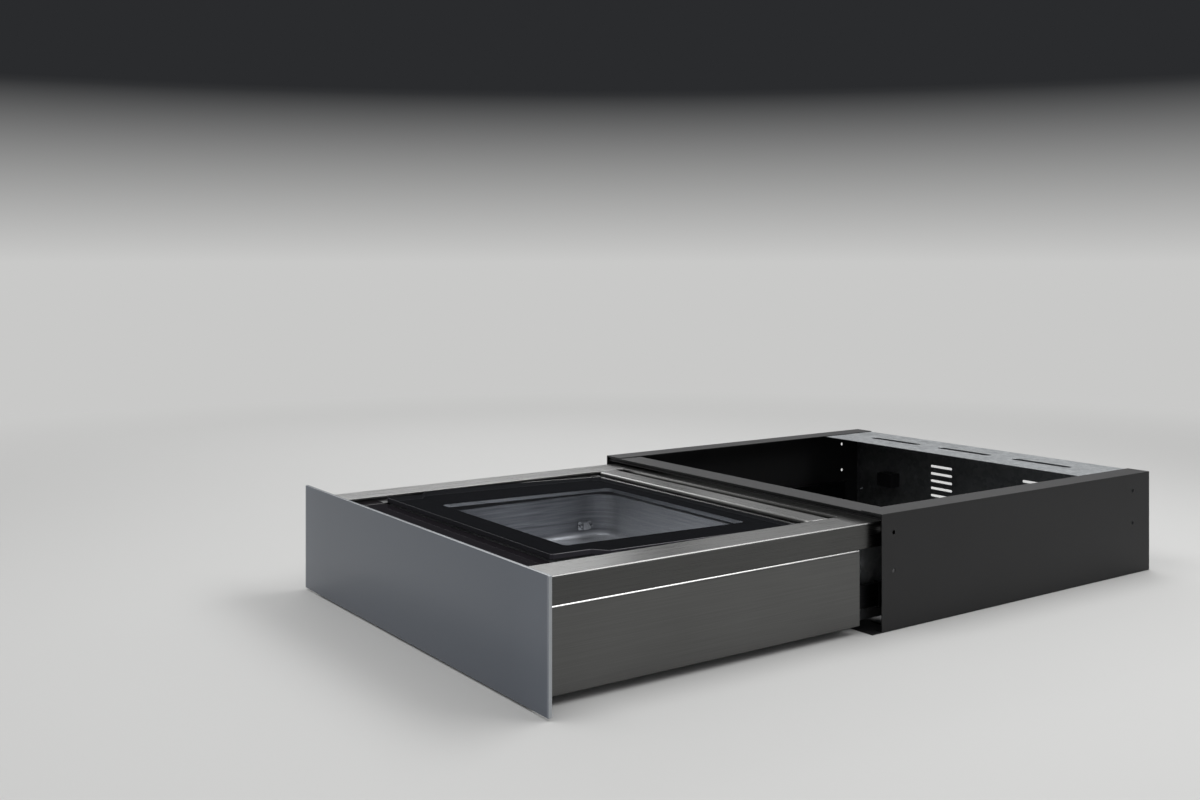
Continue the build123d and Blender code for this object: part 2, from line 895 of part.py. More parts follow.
with BuildPart() as lid_gasket:
    with BuildSketch(lid_plane.offset(frame_under - gasket_height)):
        rounded_area(-gasket_half, gasket_half, gasket_y0, gasket_y1, gasket_corner)
        rounded_area(
            -gasket_half + gasket_width,
            gasket_half - gasket_width,
            gasket_y0 + gasket_width,
            gasket_y1 - gasket_width,
            gasket_corner - gasket_width,
            mode=Mode.SUBTRACT,
        )
    extrude(amount=gasket_height)
save(lid_gasket, "lid_gasket")

# Counter bar under the lid's front border, over the sealing bar
bar_front_y = chamber_front_y + bar_clearance_front
counter_y0 = bar_front_y - hinge_y + 0.5
counter_width = 9
counter_height = 3.6

with BuildPart() as counter_bar:
    with BuildSketch(lid_plane.offset(frame_under - counter_height)):
        rounded_area(-bar_half, bar_half, counter_y0, counter_y0 + counter_width, 2)
    extrude(amount=counter_height)
save(counter_bar, "counter_bar")

# Hinge arms: a plate under the glass and a lug round the pin
with BuildPart() as hinge_arms:
    arm_origin = lid_plane.from_local_coords((lid_rear_half - lug_width, 0, 0))
    with BuildSketch(Plane(origin=arm_origin, x_dir=lid_plane.y_dir, z_dir=(1, 0, 0))):
        with BuildLine():
            Polyline(
                (-arm_length, frame_under),
                (-arm_length, glass_under - 0.1),
                (-notch_length, glass_under - 0.1),
                (-notch_length + 1, 0),
                (0, 0),
                (0, -lug_radius),
                (-6, frame_under),
                close=True,
            )
        make_face()
        Circle(lug_radius)
        Circle(hinge_pin_radius + pin_clearance, mode=Mode.SUBTRACT)
    extrude(amount=lug_width - 0.5)
    mirror(about=Plane.YZ)
save(hinge_arms, "hinge_arms")

# Sealing bar on its two lift pistons
bar_rest_top = frame_under - counter_height + hinge_z - fit_gap - bar_lift
bar_bottom = bar_rest_top - bar_band - bar_height
piston_y = chamber_front_y + piston_back

with BuildPart() as sealing_bar:
    with BuildSketch(level(bar_bottom)):
        rounded_area(-bar_half, bar_half, bar_front_y, bar_front_y + bar_width, 3)
    extrude(amount=bar_height)
    for side in (-1, 1):
        block(
            side * foot_spacing - foot_half,
            side * foot_spacing + foot_half,
            bar_front_y + bar_width,
            bar_front_y + foot_length,
            bar_bottom,
            bar_bottom + foot_height,
        )
save(sealing_bar, "sealing_bar")

with BuildPart() as heating_band:
    with BuildSketch(level(bar_bottom + bar_height)):
        area(-bar_half + 3, bar_half - 3, bar_front_y + 2, bar_front_y + bar_width - 2)
    extrude(amount=bar_band)
    fillet(heating_band.faces().sort_by(Axis.Z)[-1].edges().filter_by(Axis.X), 0.6)
save(heating_band, "heating_band")

cylinder_radius = 12
cylinder_base = 34
cylinder_base_sheet = 3
cylinder_bottom = floor_top
cylinder_top = chamber_floor - chamber_sheet
piston_bottom = cylinder_bottom + 4

with BuildPart() as lift_pistons:
    for side in (-1, 1):
        with BuildSketch(level(piston_bottom)):
            with Locations((side * foot_spacing, piston_y)):
                Circle(piston_radius)
        extrude(amount=bar_bottom - piston_bottom)
save(lift_pistons, "lift_pistons")

with BuildPart() as lift_cylinders:
    for side in (-1, 1):
        with BuildSketch(level(cylinder_bottom)):
            with Locations((side * foot_spacing, piston_y)):
                Circle(cylinder_radius)
        extrude(amount=cylinder_top - cylinder_bottom)
        with BuildSketch(level(cylinder_bottom)):
            with Locations((side * foot_spacing, piston_y)):
                Rectangle(cylinder_base, cylinder_base)
        extrude(amount=cylinder_base_sheet)
        with BuildSketch(level(piston_bottom - 1)):
            with Locations((side * foot_spacing, piston_y)):
                Circle(piston_radius + pin_clearance)
        extrude(amount=cylinder_top - piston_bottom + 1, mode=Mode.SUBTRACT)
save(lift_cylinders, "lift_cylinders")

# Rear cover: rounded front lip, flat top, and a lower channel along the rear
cover_half = well_half - seat_gap
cover_flat = 25
cover_slope = 10

with BuildPart() as rear_cover:
    with BuildSketch(sideways(-cover_half)):
        with BuildLine():
            Polyline(
                (cover_front, well_floor - 0.5),
                (cover_front, deck_height),
                (cover_front + cover_flat, deck_height),
                (cover_front + cover_flat + cover_slope, well_floor - 1),
                (cover_rear, well_floor - 1),
                (cover_rear, well_floor - 1 - deck_sheet),
                (cover_front + cover_flat + cover_slope - 0.5, well_floor - 1 - deck_sheet),
                (cover_front + cover_flat - 0.5, deck_under),
                (cover_front + deck_sheet, deck_under),
                (cover_front + deck_sheet, well_floor - 0.5),
                close=True,
            )
        make_face()
    extrude(amount=2 * cover_half)
    fillet(rear_cover.edges().filter_by(Axis.X).group_by(Axis.Y)[0].sort_by(Axis.Z)[-1], 0.9)
    with BuildSketch(level(well_floor - 4)):
        rounded_area(-cover_half, cover_half, cover_front, cover_front + 80, 12)
    extrude(amount=12, mode=Mode.INTERSECT)
save(rear_cover, "rear_cover")

# Rear compartment: vacuum pump on a cradle with rubber buffers
motor_radius = 34
motor_length = 118
motor_clearance = 14  # to the tray's rear wall
motor_lift = 8  # above the cradle
head_x0 = 34
head_length = 62
head_half = 32
head_height = 72
buffer_radius = 8
buffer_height = 8
buffer_inset = 14
cradle_sheet = 3
cradle_half = 38
saddle_width = 10
saddle_half = 24
saddle_inset = 16
motor_x0 = head_x0 + head_length
motor_x1 = motor_x0 + motor_length
cradle_x0 = head_x0 + 2
cradle_under = floor_top + buffer_height
cradle_top = cradle_under + cradle_sheet
pump_y = body_rear - body_sheet - motor_clearance - motor_radius
pump_z = cradle_top + motor_lift + motor_radius
head_top = cradle_top + head_height

with BuildPart() as pump_buffers:
    for x in (cradle_x0 + buffer_inset, motor_x1 - buffer_inset):
        for side in (-1, 1):
            with BuildSketch(level(floor_top)):
                with Locations((x, pump_y + side * (cradle_half - 10))):
                    Circle(buffer_radius)
            extrude(amount=buffer_height)
save(pump_buffers, "pump_buffers")

with BuildPart() as pump_cradle:
    block(cradle_x0, motor_x1, pump_y - cradle_half, pump_y + cradle_half, cradle_under, cradle_top)
    for x in (motor_x0 + saddle_inset, motor_x1 - saddle_inset - saddle_width):
        with BuildSketch(sideways(x)):
            area(pump_y - saddle_half, pump_y + saddle_half, cradle_top, pump_z - motor_radius / 2)
            with Locations((pump_y, pump_z)):
                Circle(motor_radius, mode=Mode.SUBTRACT)
        extrude(amount=saddle_width)
save(pump_cradle, "pump_cradle")

with BuildPart() as pump_motor:
    with BuildSketch(sideways(motor_x0)):
        with Locations((pump_y, pump_z)):
            Circle(motor_radius)
    extrude(amount=motor_length)
    fillet(pump_motor.edges().filter_by(GeomType.CIRCLE), 4)
    # terminal box
    with BuildSketch(sideways(motor_x0 + 24)):
        with Locations((pump_y, pump_z + motor_radius - 1)):
            Rectangle(26, 14)
    extrude(amount=44)
save(pump_motor, "pump_motor")

fin_gap = 5
fin_depth = 6

with BuildPart() as pump_head:
    block(head_x0, motor_x0, pump_y - head_half, pump_y + head_half, cradle_top, head_top)
    fillet(pump_head.edges().filter_by(Axis.X), 6)
    for slot in range(1, 5):
        x = head_x0 + slot * (head_length - 2) / 5
        block(
            x,
            x + fin_gap,
            pump_y - head_half,
            pump_y + head_half,
            head_top - fin_depth,
            head_top,
            mode=Mode.SUBTRACT,
        )
save(pump_head, "pump_head")

hose_radius = 5
exhaust_x = head_x0 - 14
exhaust_y = pump_y + 18

with BuildPart() as exhaust_filter:
    with BuildSketch(level(cradle_under)):
        with Locations((exhaust_x, exhaust_y)):
            Circle(13)
    extrude(amount=52)
    fillet(exhaust_filter.edges().filter_by(GeomType.CIRCLE), 2)
    with BuildSketch(level(floor_top)):
        with Locations((exhaust_x, exhaust_y)):
            Circle(6)
    extrude(amount=cradle_under - floor_top)
save(exhaust_filter, "exhaust_filter")

# Valve block between the pump and the chamber, with two coils on top
valve_x = -95
valve_y = pump_y - 2
valve_half = 26
valve_depth = 28
valve_top = 76
coil_width = 20
coil_depth = 22
coil_height = 26

with BuildPart() as valve_block:
    block(
        valve_x - valve_half,
        valve_x + valve_half,
        valve_y - valve_depth / 2,
        valve_y + valve_depth / 2,
        floor_top,
        valve_top,
    )
    fillet(valve_block.edges().filter_by(Axis.Z), 3)
save(valve_block, "valve_block")

with BuildPart() as valve_coils:
    for x in (valve_x - valve_half / 2, valve_x + valve_half / 2):
        block(
            x - coil_width / 2,
            x + coil_width / 2,
            valve_y - coil_depth / 2,
            valve_y + coil_depth / 2,
            valve_top,
            valve_top + coil_height,
        )
        with Locations((x, valve_y, valve_top + coil_height + 2)):
            Cylinder(5, 4)
save(valve_coils, "valve_coils")

# Hose from the chamber's spigot to the valve block: it slips over the spigot, turns a quarter
# to the back, runs along the tray's side and turns a quarter into the block
hose_z = spigot_z
hose_start = -chamber_half - chamber_sheet - 3
hose_bend = 22
hose_lane = -chamber_half - spigot_length - hose_bend
hose_end_x = valve_x - valve_half
hose_wall = 2
pump_hose_z = 40

with BuildPart() as vacuum_hoses:
    with BuildLine() as hose_path:
        Polyline(
            (hose_start, spigot_y, hose_z),
            (hose_lane, spigot_y, hose_z),
            (hose_lane, valve_y, hose_z),
            (hose_end_x, valve_y, hose_z),
        )
        fillet(hose_path.vertices().filter_by(lambda v: abs(v.X - hose_lane) < 1), hose_bend)
    with BuildSketch(sideways(hose_start)):
        with Locations((spigot_y, hose_z)):
            Circle(hose_radius + hose_wall)
            Circle(hose_radius, mode=Mode.SUBTRACT)
    sweep()
    with BuildSketch(sideways(valve_x + valve_half)):
        with Locations((valve_y - 4, pump_hose_z)):
            Circle(hose_radius + hose_wall)
            Circle(hose_radius, mode=Mode.SUBTRACT)
    extrude(amount=head_x0 - valve_x - valve_half)
save(vacuum_hoses, "vacuum_hoses")

sensor_size = 16
sensor_height = 22
sensor_gap = 4  # bridged by its port

with BuildPart() as pressure_sensor:
    sensor_rear = valve_y - valve_depth / 2 - sensor_gap
    block(
        valve_x - sensor_size / 2,
        valve_x + sensor_size / 2,
        sensor_rear - sensor_size,
        sensor_rear,
        floor_top,
        floor_top + sensor_height,
    )
    block(valve_x - 3, valve_x + 3, sensor_rear, sensor_rear + sensor_gap, floor_top + 8, floor_top + 14)
save(pressure_sensor, "pressure_sensor")

# Power board on stand-offs in the left side compartment
power_width = 60
power_length = 200
power_setback = 63  # from the body's front
power_gap = 4  # to the tray's side
power_front = body_front + power_setback
power_left = -tray_inside + power_gap
power_right = power_left + power_width
standoff_radius = 3
standoff_height = 6
standoff_inset_x = 6
standoff_inset_y = 10
filter_length = 30
filter_height = 24
supply_length = 34
supply_height = 30
relay_length = 20
relay_height = 18
terminal_length = 28
terminal_height = 26
component_gap = 15
component_inset = 9
power_under = floor_top + standoff_height
power_top = power_under + board_thickness

with BuildPart() as power_board:
    block(power_left, power_right, power_front, power_front + power_length, power_under, power_top)
    for x in (power_left + standoff_inset_x, power_right - standoff_inset_x):
        for y in (power_front + standoff_inset_y, power_front + power_length - standoff_inset_y):
            with Locations((x, y, floor_top + standoff_height / 2)):
                Cylinder(standoff_radius, standoff_height)
    # filter, supply, relays and terminals, one behind the other
    y = power_front + 2 * standoff_inset_y
    for length, height in (
        (filter_length, filter_height),
        (supply_length, supply_height),
        (relay_length, relay_height),
        (terminal_length, terminal_height),
    ):
        block(
            power_left + component_inset,
            power_right - component_inset,
            y,
            y + length,
            power_top,
            power_top + height,
        )
        y += length + component_gap
save(power_board, "power_board")

# Transformer of the sealing bar in the right side compartment
transformer_gap = 10  # from the tray's side to its foot
transformer_setback = 157  # from the body's front to its middle
core_width = 48
core_length = 60
core_height = 52
coil_overhang = 10
coil_inset = 6
foot_sheet = 6
foot_reach = 4
transformer_x = tray_inside - transformer_gap - foot_reach - core_width / 2
transformer_y = body_front + transformer_setback

with BuildPart() as seal_transformer:
    with Locations((transformer_x, transformer_y, floor_top + foot_sheet / 2)):
        Box(core_width + 2 * foot_reach, core_length + 2 * foot_reach, foot_sheet)
    with Locations((transformer_x, transformer_y, floor_top + foot_sheet + core_height / 2)):
        Box(core_width, core_length, core_height)
    with Locations((transformer_x, transformer_y, floor_top + foot_sheet + core_height / 2)):
        Box(core_width - 2 * coil_inset, core_length + 2 * coil_overhang, core_height - 3 * coil_inset)
save(seal_transformer, "seal_transformer")

# Cooling fan on the tray's rear wall, with its rotor
fan_rear = body_rear - body_sheet
fan_front = fan_rear - fan_depth
hub_radius = 11
axle_radius = 2
axle_length = 12

with BuildPart() as fan_housing:
    block(
        fan_x - fan_size / 2,
        fan_x + fan_size / 2,
        fan_front,
        fan_rear,
        fan_z - fan_size / 2,
        fan_z + fan_size / 2,
    )
    fillet(fan_housing.edges().filter_by(Axis.Y), 4)
    with BuildSketch(upright(fan_front)):
        with Locations((fan_x, fan_z)):
            Circle(fan_bore)
    extrude(amount=-fan_depth, mode=Mode.SUBTRACT)
    # spokes, motor plate and axle at the front
    with BuildSketch(upright(fan_front)):
        with Locations((fan_x, fan_z)):
            Circle(hub_radius)
        area(fan_x - 1.5, fan_x + 1.5, fan_z - fan_bore - 1, fan_z + fan_bore + 1)
        area(fan_x - fan_bore - 1, fan_x + fan_bore + 1, fan_z - 1.5, fan_z + 1.5)
    extrude(amount=-3)
    with BuildSketch(upright(fan_front + 3)):
        with Locations((fan_x, fan_z)):
            Circle(axle_radius)
    extrude(amount=-axle_length)
save(fan_housing, "fan_housing")

blade_count = 7
rotor_front = fan_front + 3 + fit_gap
rotor_rear = fan_rear - 1.5

with BuildPart() as fan_rotor:
    with BuildSketch(upright(rotor_front)):
        with Locations((fan_x, fan_z)):
            Circle(hub_radius)
    extrude(amount=-(rotor_rear - rotor_front))
    with Locations(Plane(origin=(fan_x, (rotor_front + rotor_rear) / 2, fan_z), z_dir=(0, 1, 0))):
        with PolarLocations(16.5, blade_count):
            Box(17, 1.6, 13, rotation=(35, 0, 0))
    with BuildSketch(upright(rotor_front)):
        with Locations((fan_x, fan_z)):
            Circle(axle_radius + pin_clearance)
    extrude(amount=-(axle_length - fit_gap + 0.3), mode=Mode.SUBTRACT)
save(fan_rotor, "fan_rotor")
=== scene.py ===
import json
import math

import bmesh
import bpy
import numpy as np
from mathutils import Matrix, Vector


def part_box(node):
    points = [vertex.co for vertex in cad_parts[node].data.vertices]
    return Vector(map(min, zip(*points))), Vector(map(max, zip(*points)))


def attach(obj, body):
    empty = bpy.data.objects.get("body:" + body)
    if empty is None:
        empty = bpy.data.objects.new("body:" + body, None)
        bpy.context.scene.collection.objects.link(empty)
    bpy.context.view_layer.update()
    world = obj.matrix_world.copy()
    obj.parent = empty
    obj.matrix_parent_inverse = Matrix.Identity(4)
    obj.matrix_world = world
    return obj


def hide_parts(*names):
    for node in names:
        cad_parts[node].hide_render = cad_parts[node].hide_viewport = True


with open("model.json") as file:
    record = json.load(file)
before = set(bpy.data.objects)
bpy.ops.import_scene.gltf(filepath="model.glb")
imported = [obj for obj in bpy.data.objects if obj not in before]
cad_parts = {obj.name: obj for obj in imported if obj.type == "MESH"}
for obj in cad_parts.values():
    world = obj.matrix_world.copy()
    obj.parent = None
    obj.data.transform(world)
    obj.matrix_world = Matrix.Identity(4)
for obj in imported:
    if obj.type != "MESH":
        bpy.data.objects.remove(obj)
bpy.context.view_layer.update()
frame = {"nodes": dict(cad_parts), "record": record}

nodes = frame["nodes"]
record = frame["record"]
print("frame loaded:", len(nodes), "nodes")

# the camera was fitted to the front panel's corners and to lines along the drawer; it stands level
cameraSettings = {
    "place": (1.315, -1.122, 0.432),
    "heading": 55.15,  # degrees from +Y towards -X
    "lens": 38.46,
    "shiftY": -0.115,
}


def buildCamera(s):
    data = bpy.data.cameras.new("camera")
    data.lens = s["lens"]
    data.sensor_width = 36
    data.shift_y = s["shiftY"]
    data.clip_end = 60
    camera = bpy.data.objects.new("camera", data)
    camera.location = s["place"]
    camera.rotation_euler = (math.pi / 2, 0, math.radians(s["heading"]))
    bpy.context.scene.collection.objects.link(camera)
    bpy.context.scene.camera = camera
    bpy.context.scene.view_settings.view_transform = "Standard"


buildCamera(cameraSettings)


def linearColour(hexColour, strength=1.0):
    # sRGB to linear: c / 12.92 near black, ((c + 0.055) / 1.055) ^ 2.4 above, times a strength
    digits = hexColour.lstrip("#")
    channel = np.array([int(digits[i:i + 2], 16) for i in (0, 2, 4)]) / 255
    linear = np.where(channel <= 0.04045, channel / 12.92, ((channel + 0.055) / 1.055) ** 2.4)
    return (*np.minimum(linear * strength, 1).tolist(), 1.0)


def addNode(tree, kind, settings={}, inputs={}, stops=()):
    # one node with its settings; an input is a value or the socket it is linked from, and the
    # stops are a colour ramp's positions and colours
    node = tree.nodes.new(kind)
    for key, value in settings.items():
        setattr(node, key, value)
    for key, value in inputs.items():
        if isinstance(value, bpy.types.NodeSocket):
            tree.links.new(value, node.inputs[key])
        else:
            node.inputs[key].default_value = value
    for index, (position, colour) in enumerate(stops):
        elements = node.color_ramp.elements
        element = elements[index] if index < len(elements) else elements.new(position)
        element.position = position
        element.color = colour
    return node


def newMaterial(name):
    material = bpy.data.materials.new(name)
    material.use_nodes = True
    material.node_tree.nodes.clear()
    return material, material.node_tree


def objectPoint(tree, size):
    # Object coordinates divided by a real size in millimetres along each axis
    coordinates = addNode(tree, "ShaderNodeTexCoord")
    return addNode(tree, "ShaderNodeMapping", {"vector_type": "POINT"}, {
        "Vector": coordinates.outputs["Object"], "Scale": [1000 / s for s in size],
    }).outputs["Vector"]


# brushed stainless steel: a belt leaves long fine scratches that spread the reflections; the real
# ones lie about 0.1 mm apart and are drawn at the grain's size so that they show
def brushedSteel(name, light, dark, grain, roughness, relief=0.08, zones=()):
    material, tree = newMaterial(name)
    scratches = addNode(tree, "ShaderNodeTexNoise", {}, {
        "Vector": objectPoint(tree, grain), "Scale": 1.0, "Detail": 4.0, "Roughness": 0.62,
    })
    clouds = addNode(tree, "ShaderNodeTexNoise", {}, {
        "Vector": objectPoint(tree, (150, 150, 150)), "Scale": 1.0, "Detail": 2.0,
    })
    blend = addNode(tree, "ShaderNodeMix", {}, {
        0: 0.35, 2: scratches.outputs["Fac"], 3: clouds.outputs["Fac"],
    })
    colour = addNode(tree, "ShaderNodeValToRGB", {}, {"Fac": blend.outputs[0]}, [
        (0.34, linearColour(dark)), (0.66, linearColour(light)),
    ]).outputs["Color"]
    place = addNode(tree, "ShaderNodeSeparateXYZ", {}, {"Vector": objectPoint(tree, (1, 1, 1))})
    for zone in zones:
        # another tone past a place on an axis: painted light and shade where the lamps and surroundings fall
        # unevenly, such as a painted highlight along a bend or painted shade on a side facing darker
        # surroundings
        side = addNode(tree, "ShaderNodeMapRange", {"interpolation_type": "SMOOTHSTEP"}, {
            "Value": place.outputs[zone["axis"]], "From Min": zone["from"], "From Max": zone["to"],
        })
        shade = addNode(tree, "ShaderNodeValToRGB", {}, {"Fac": blend.outputs[0]}, [
            (0.34, linearColour(zone["dark"])), (0.66, linearColour(zone["light"])),
        ])
        colour = addNode(tree, "ShaderNodeMix", {"data_type": "RGBA"}, {
            "Factor": side.outputs["Result"], 6: colour, 7: shade.outputs["Color"],
        }).outputs[2]
    rough = addNode(tree, "ShaderNodeMapRange", {}, {
        "Value": scratches.outputs["Fac"], "From Min": 0.3, "From Max": 0.7,
        "To Min": roughness - 0.05, "To Max": roughness + 0.05,
    })
    bump = addNode(tree, "ShaderNodeBump", {}, {
        "Height": scratches.outputs["Fac"], "Strength": relief, "Distance": 0.0002,
    })
    shader = addNode(tree, "ShaderNodeBsdfPrincipled", {}, {
        "Base Color": colour, "Metallic": 1.0, "Roughness": rough.outputs["Result"],
        "Normal": bump.outputs["Normal"],
    })
    addNode(tree, "ShaderNodeOutputMaterial", {}, {"Surface": shader.outputs[0]})
    return material


# moulded plastic, rubber or sprayed paint: a fine grain that softens the highlights, and a tone that
# drifts a little over a few centimetres
def grainedCoat(name, colour, roughness, grainSize=0.6, relief=0.12, metallic=0.0):
    material, tree = newMaterial(name)
    grain = addNode(tree, "ShaderNodeTexNoise", {}, {
        "Vector": objectPoint(tree, (grainSize,) * 3), "Scale": 1.0, "Detail": 2.0,
    })
    tone = addNode(tree, "ShaderNodeTexNoise", {}, {
        "Vector": objectPoint(tree, (70, 70, 70)), "Scale": 1.0, "Detail": 2.0,
    })
    drift = addNode(tree, "ShaderNodeValToRGB", {}, {"Fac": tone.outputs["Fac"]}, [
        (0.3, linearColour(colour, 0.86)), (0.7, linearColour(colour, 1.12)),
    ])
    bump = addNode(tree, "ShaderNodeBump", {}, {
        "Height": grain.outputs["Fac"], "Strength": relief, "Distance": 0.0002,
    })
    shader = addNode(tree, "ShaderNodeBsdfPrincipled", {}, {
        "Base Color": drift.outputs["Color"], "Roughness": roughness, "Metallic": metallic,
        "Normal": bump.outputs["Normal"],
    })
    addNode(tree, "ShaderNodeOutputMaterial", {}, {"Surface": shader.outputs[0]})
    return material


# hot-dip galvanised steel: flat zinc crystals a few millimetres across, each a slightly different grey
def galvanisedSheet(name, light, dark, crystal=6):
    material, tree = newMaterial(name)
    warp = addNode(tree, "ShaderNodeTexNoise", {}, {
        "Vector": objectPoint(tree, (crystal * 1.3,) * 3), "Scale": 1.0, "Detail": 2.0,
    })
    point = addNode(tree, "ShaderNodeVectorMath", {"operation": "MULTIPLY_ADD"}, {
        0: warp.outputs["Color"], 1: (0.6, 0.6, 0.6), 2: objectPoint(tree, (crystal,) * 3),
    })
    cells = addNode(tree, "ShaderNodeTexVoronoi", {"feature": "F1"}, {
        "Vector": point.outputs[0], "Scale": 1.0,
    })
    grey = addNode(tree, "ShaderNodeSeparateColor", {}, {"Color": cells.outputs["Color"]})
    colour = addNode(tree, "ShaderNodeValToRGB", {}, {"Fac": grey.outputs[0]}, [
        (0.0, linearColour(dark)), (1.0, linearColour(light)),
    ])
    rough = addNode(tree, "ShaderNodeMapRange", {}, {
        "Value": grey.outputs[1], "To Min": 0.36, "To Max": 0.48,
    })
    shader = addNode(tree, "ShaderNodeBsdfPrincipled", {}, {
        "Base Color": colour.outputs["Color"], "Metallic": 1.0, "Roughness": rough.outputs["Result"],
    })
    addNode(tree, "ShaderNodeOutputMaterial", {}, {"Surface": shader.outputs[0]})
    return material


# float glass painted grey on its back: an even colour under a hard clear reflection, and paler towards both
# ends, a painted highlight for the light that enters through the polished edges
def backPaintedGlass(name, colour, paler, ends, half):
    material, tree = newMaterial(name)
    fade = 70  # mm over which the ends turn paler
    place = addNode(tree, "ShaderNodeSeparateXYZ", {}, {"Vector": objectPoint(tree, (1, 1, 1))})
    across = addNode(tree, "ShaderNodeMath", {"operation": "ABSOLUTE"}, {0: place.outputs["X"]})
    share = addNode(tree, "ShaderNodeMapRange", {}, {
        "Value": across.outputs[0], "From Min": half - fade, "From Max": half,
    })
    tone = addNode(tree, "ShaderNodeValToRGB", {}, {"Fac": share.outputs["Result"]}, [
        (0.0, linearColour(colour)), (0.8, linearColour(paler)),
        (0.952, linearColour(paler)), (0.962, linearColour(ends)),
    ])
    shader = addNode(tree, "ShaderNodeBsdfPrincipled", {}, {
        "Base Color": tone.outputs["Color"], "Roughness": 0.03, "IOR": 1.52,
    })
    addNode(tree, "ShaderNodeOutputMaterial", {}, {"Surface": shader.outputs[0]})
    return material


# glass with a fired ceramic print or a ground and polished edge: smooth, with a faint drift in tone
def printedGlass(name, colour, roughness, specular=0.5):
    material, tree = newMaterial(name)
    tone = addNode(tree, "ShaderNodeTexNoise", {}, {
        "Vector": objectPoint(tree, (90, 90, 90)), "Scale": 1.0, "Detail": 1.0,
    })
    drift = addNode(tree, "ShaderNodeValToRGB", {}, {"Fac": tone.outputs["Fac"]}, [
        (0.3, linearColour(colour, 0.9)), (0.7, linearColour(colour, 1.1)),
    ])
    shader = addNode(tree, "ShaderNodeBsdfPrincipled", {}, {
        "Base Color": drift.outputs["Color"], "Roughness": roughness, "IOR": 1.52,
        "Specular IOR Level": specular,
    })
    addNode(tree, "ShaderNodeOutputMaterial", {}, {"Surface": shader.outputs[0]})
    return material


# clear toughened glass: lets light through with a faint tint and mirrors by its Fresnel share on the
# way in; on the way out it only lets the light through
def clearGlass(name, tint):
    material, tree = newMaterial(name)
    outside = addNode(tree, "ShaderNodeMath", {"operation": "SUBTRACT"}, {
        0: 1.0, 1: addNode(tree, "ShaderNodeNewGeometry").outputs["Backfacing"],
    })
    fresnel = addNode(tree, "ShaderNodeMath", {"operation": "MULTIPLY"}, {
        0: outside.outputs[0], 1: addNode(tree, "ShaderNodeFresnel", {}, {"IOR": 1.5}).outputs[0],
    })
    through = addNode(tree, "ShaderNodeBsdfTransparent", {}, {"Color": linearColour(tint)})
    mirror = addNode(tree, "ShaderNodeBsdfGlossy", {}, {"Color": (1, 1, 1, 1), "Roughness": 0.01})
    mix = addNode(tree, "ShaderNodeMixShader", {}, {
        0: fresnel.outputs[0], 1: through.outputs[0], 2: mirror.outputs[0],
    })
    addNode(tree, "ShaderNodeOutputMaterial", {}, {"Surface": mix.outputs[0]})
    return material


# painted light and shade on the steels: the deck is paler on its left (painted light) and darker below its
# bend (painted shade), the cover darker to the right (painted shade), the side covers dark (painted shade)
# and bright along their bend (painted highlight), and the chamber near white (painted light), darker at the
# fitting's wall (painted shade) and palest on its floor (painted light)
stainlessDeck = brushedSteel("brushedStainlessDeck", "#8b8b8a", "#7d7d7c", (0.9, 110, 0.9), 0.3, zones=[
    {"axis": "X", "from": 120, "to": -180, "light": "#afafae", "dark": "#9f9f9e"},
    {"axis": "Z", "from": 125.2, "to": 124.4, "light": "#595958", "dark": "#4d4d4c"},
])
stainlessCover = brushedSteel("brushedStainlessCover", "#a9a9a8", "#939392", (90, 0.9, 0.9), 0.3, zones=[
    {"axis": "X", "from": 20, "to": 180, "light": "#848483", "dark": "#727271"},
])
stainlessSide = brushedSteel("brushedStainlessSide", "#6a6a69", "#5d5d5c", (0.9, 110, 0.8), 0.34, 0.05, [
    {"axis": "Z", "from": 95.4, "to": 96.6, "light": "#d4d4d3", "dark": "#bcbcbb"},
])
chamberSteel = brushedSteel("drawnSatinSteel", "#f6f7f8", "#d2d4d6", (90, 90, 2.6), 0.52, 0.06, zones=[
    {"axis": "X", "from": -120, "to": -164, "light": "#b9bbbf", "dark": "#6f7175"},
    {"axis": "Z", "from": 58, "to": 49, "light": "#ffffff", "dark": "#f4f4f4"},
])
zincSheet = galvanisedSheet("galvanisedSteel", "#b7babc", "#a0a4a7")
zincPlated = brushedSteel("zincPlatedSteel", "#c2c6c8", "#9fa4a8", (1.2, 40, 1.2), 0.28)
groundSteel = brushedSteel("groundSteel", "#cfd0d2", "#b4b6b8", (0.8, 0.8, 20), 0.2)
brass = brushedSteel("drawnBrass", "#d9b666", "#b98f3f", (0.8, 12, 0.8), 0.25)
# painted light: the panel's glass turns paler towards both ends and palest in a thin band at each end
panelGlass = backPaintedGlass("greyBackPaintedGlass", "#575d67", "#5b616b", "#767b84", 298.5)
# the pale grey of the panel's edge faces is partly the edge's own tone and partly a painted highlight
panelEdge = printedGlass("polishedPanelEdge", "#a3a7ab", 0.14)
stripGlass = printedGlass("blackTouchGlass", "#1c191d", 0.04)
paneGlass = clearGlass("clearLidGlass", "#f0f1f3")
# the lid's edges: a lighter tone as painted reflection on the right edge, a dark one as painted shade on the
# others
paneLitEdge = printedGlass("groundLidEdgePaintedLight", "#3f3d44", 0.22)
paneShadedEdge = printedGlass("lidEdgePaintedShade", "#2a2a2e", 0.5, 0.1)
borderPrint = printedGlass("blackCeramicPrint", "#101013", 0.6, 0.0)
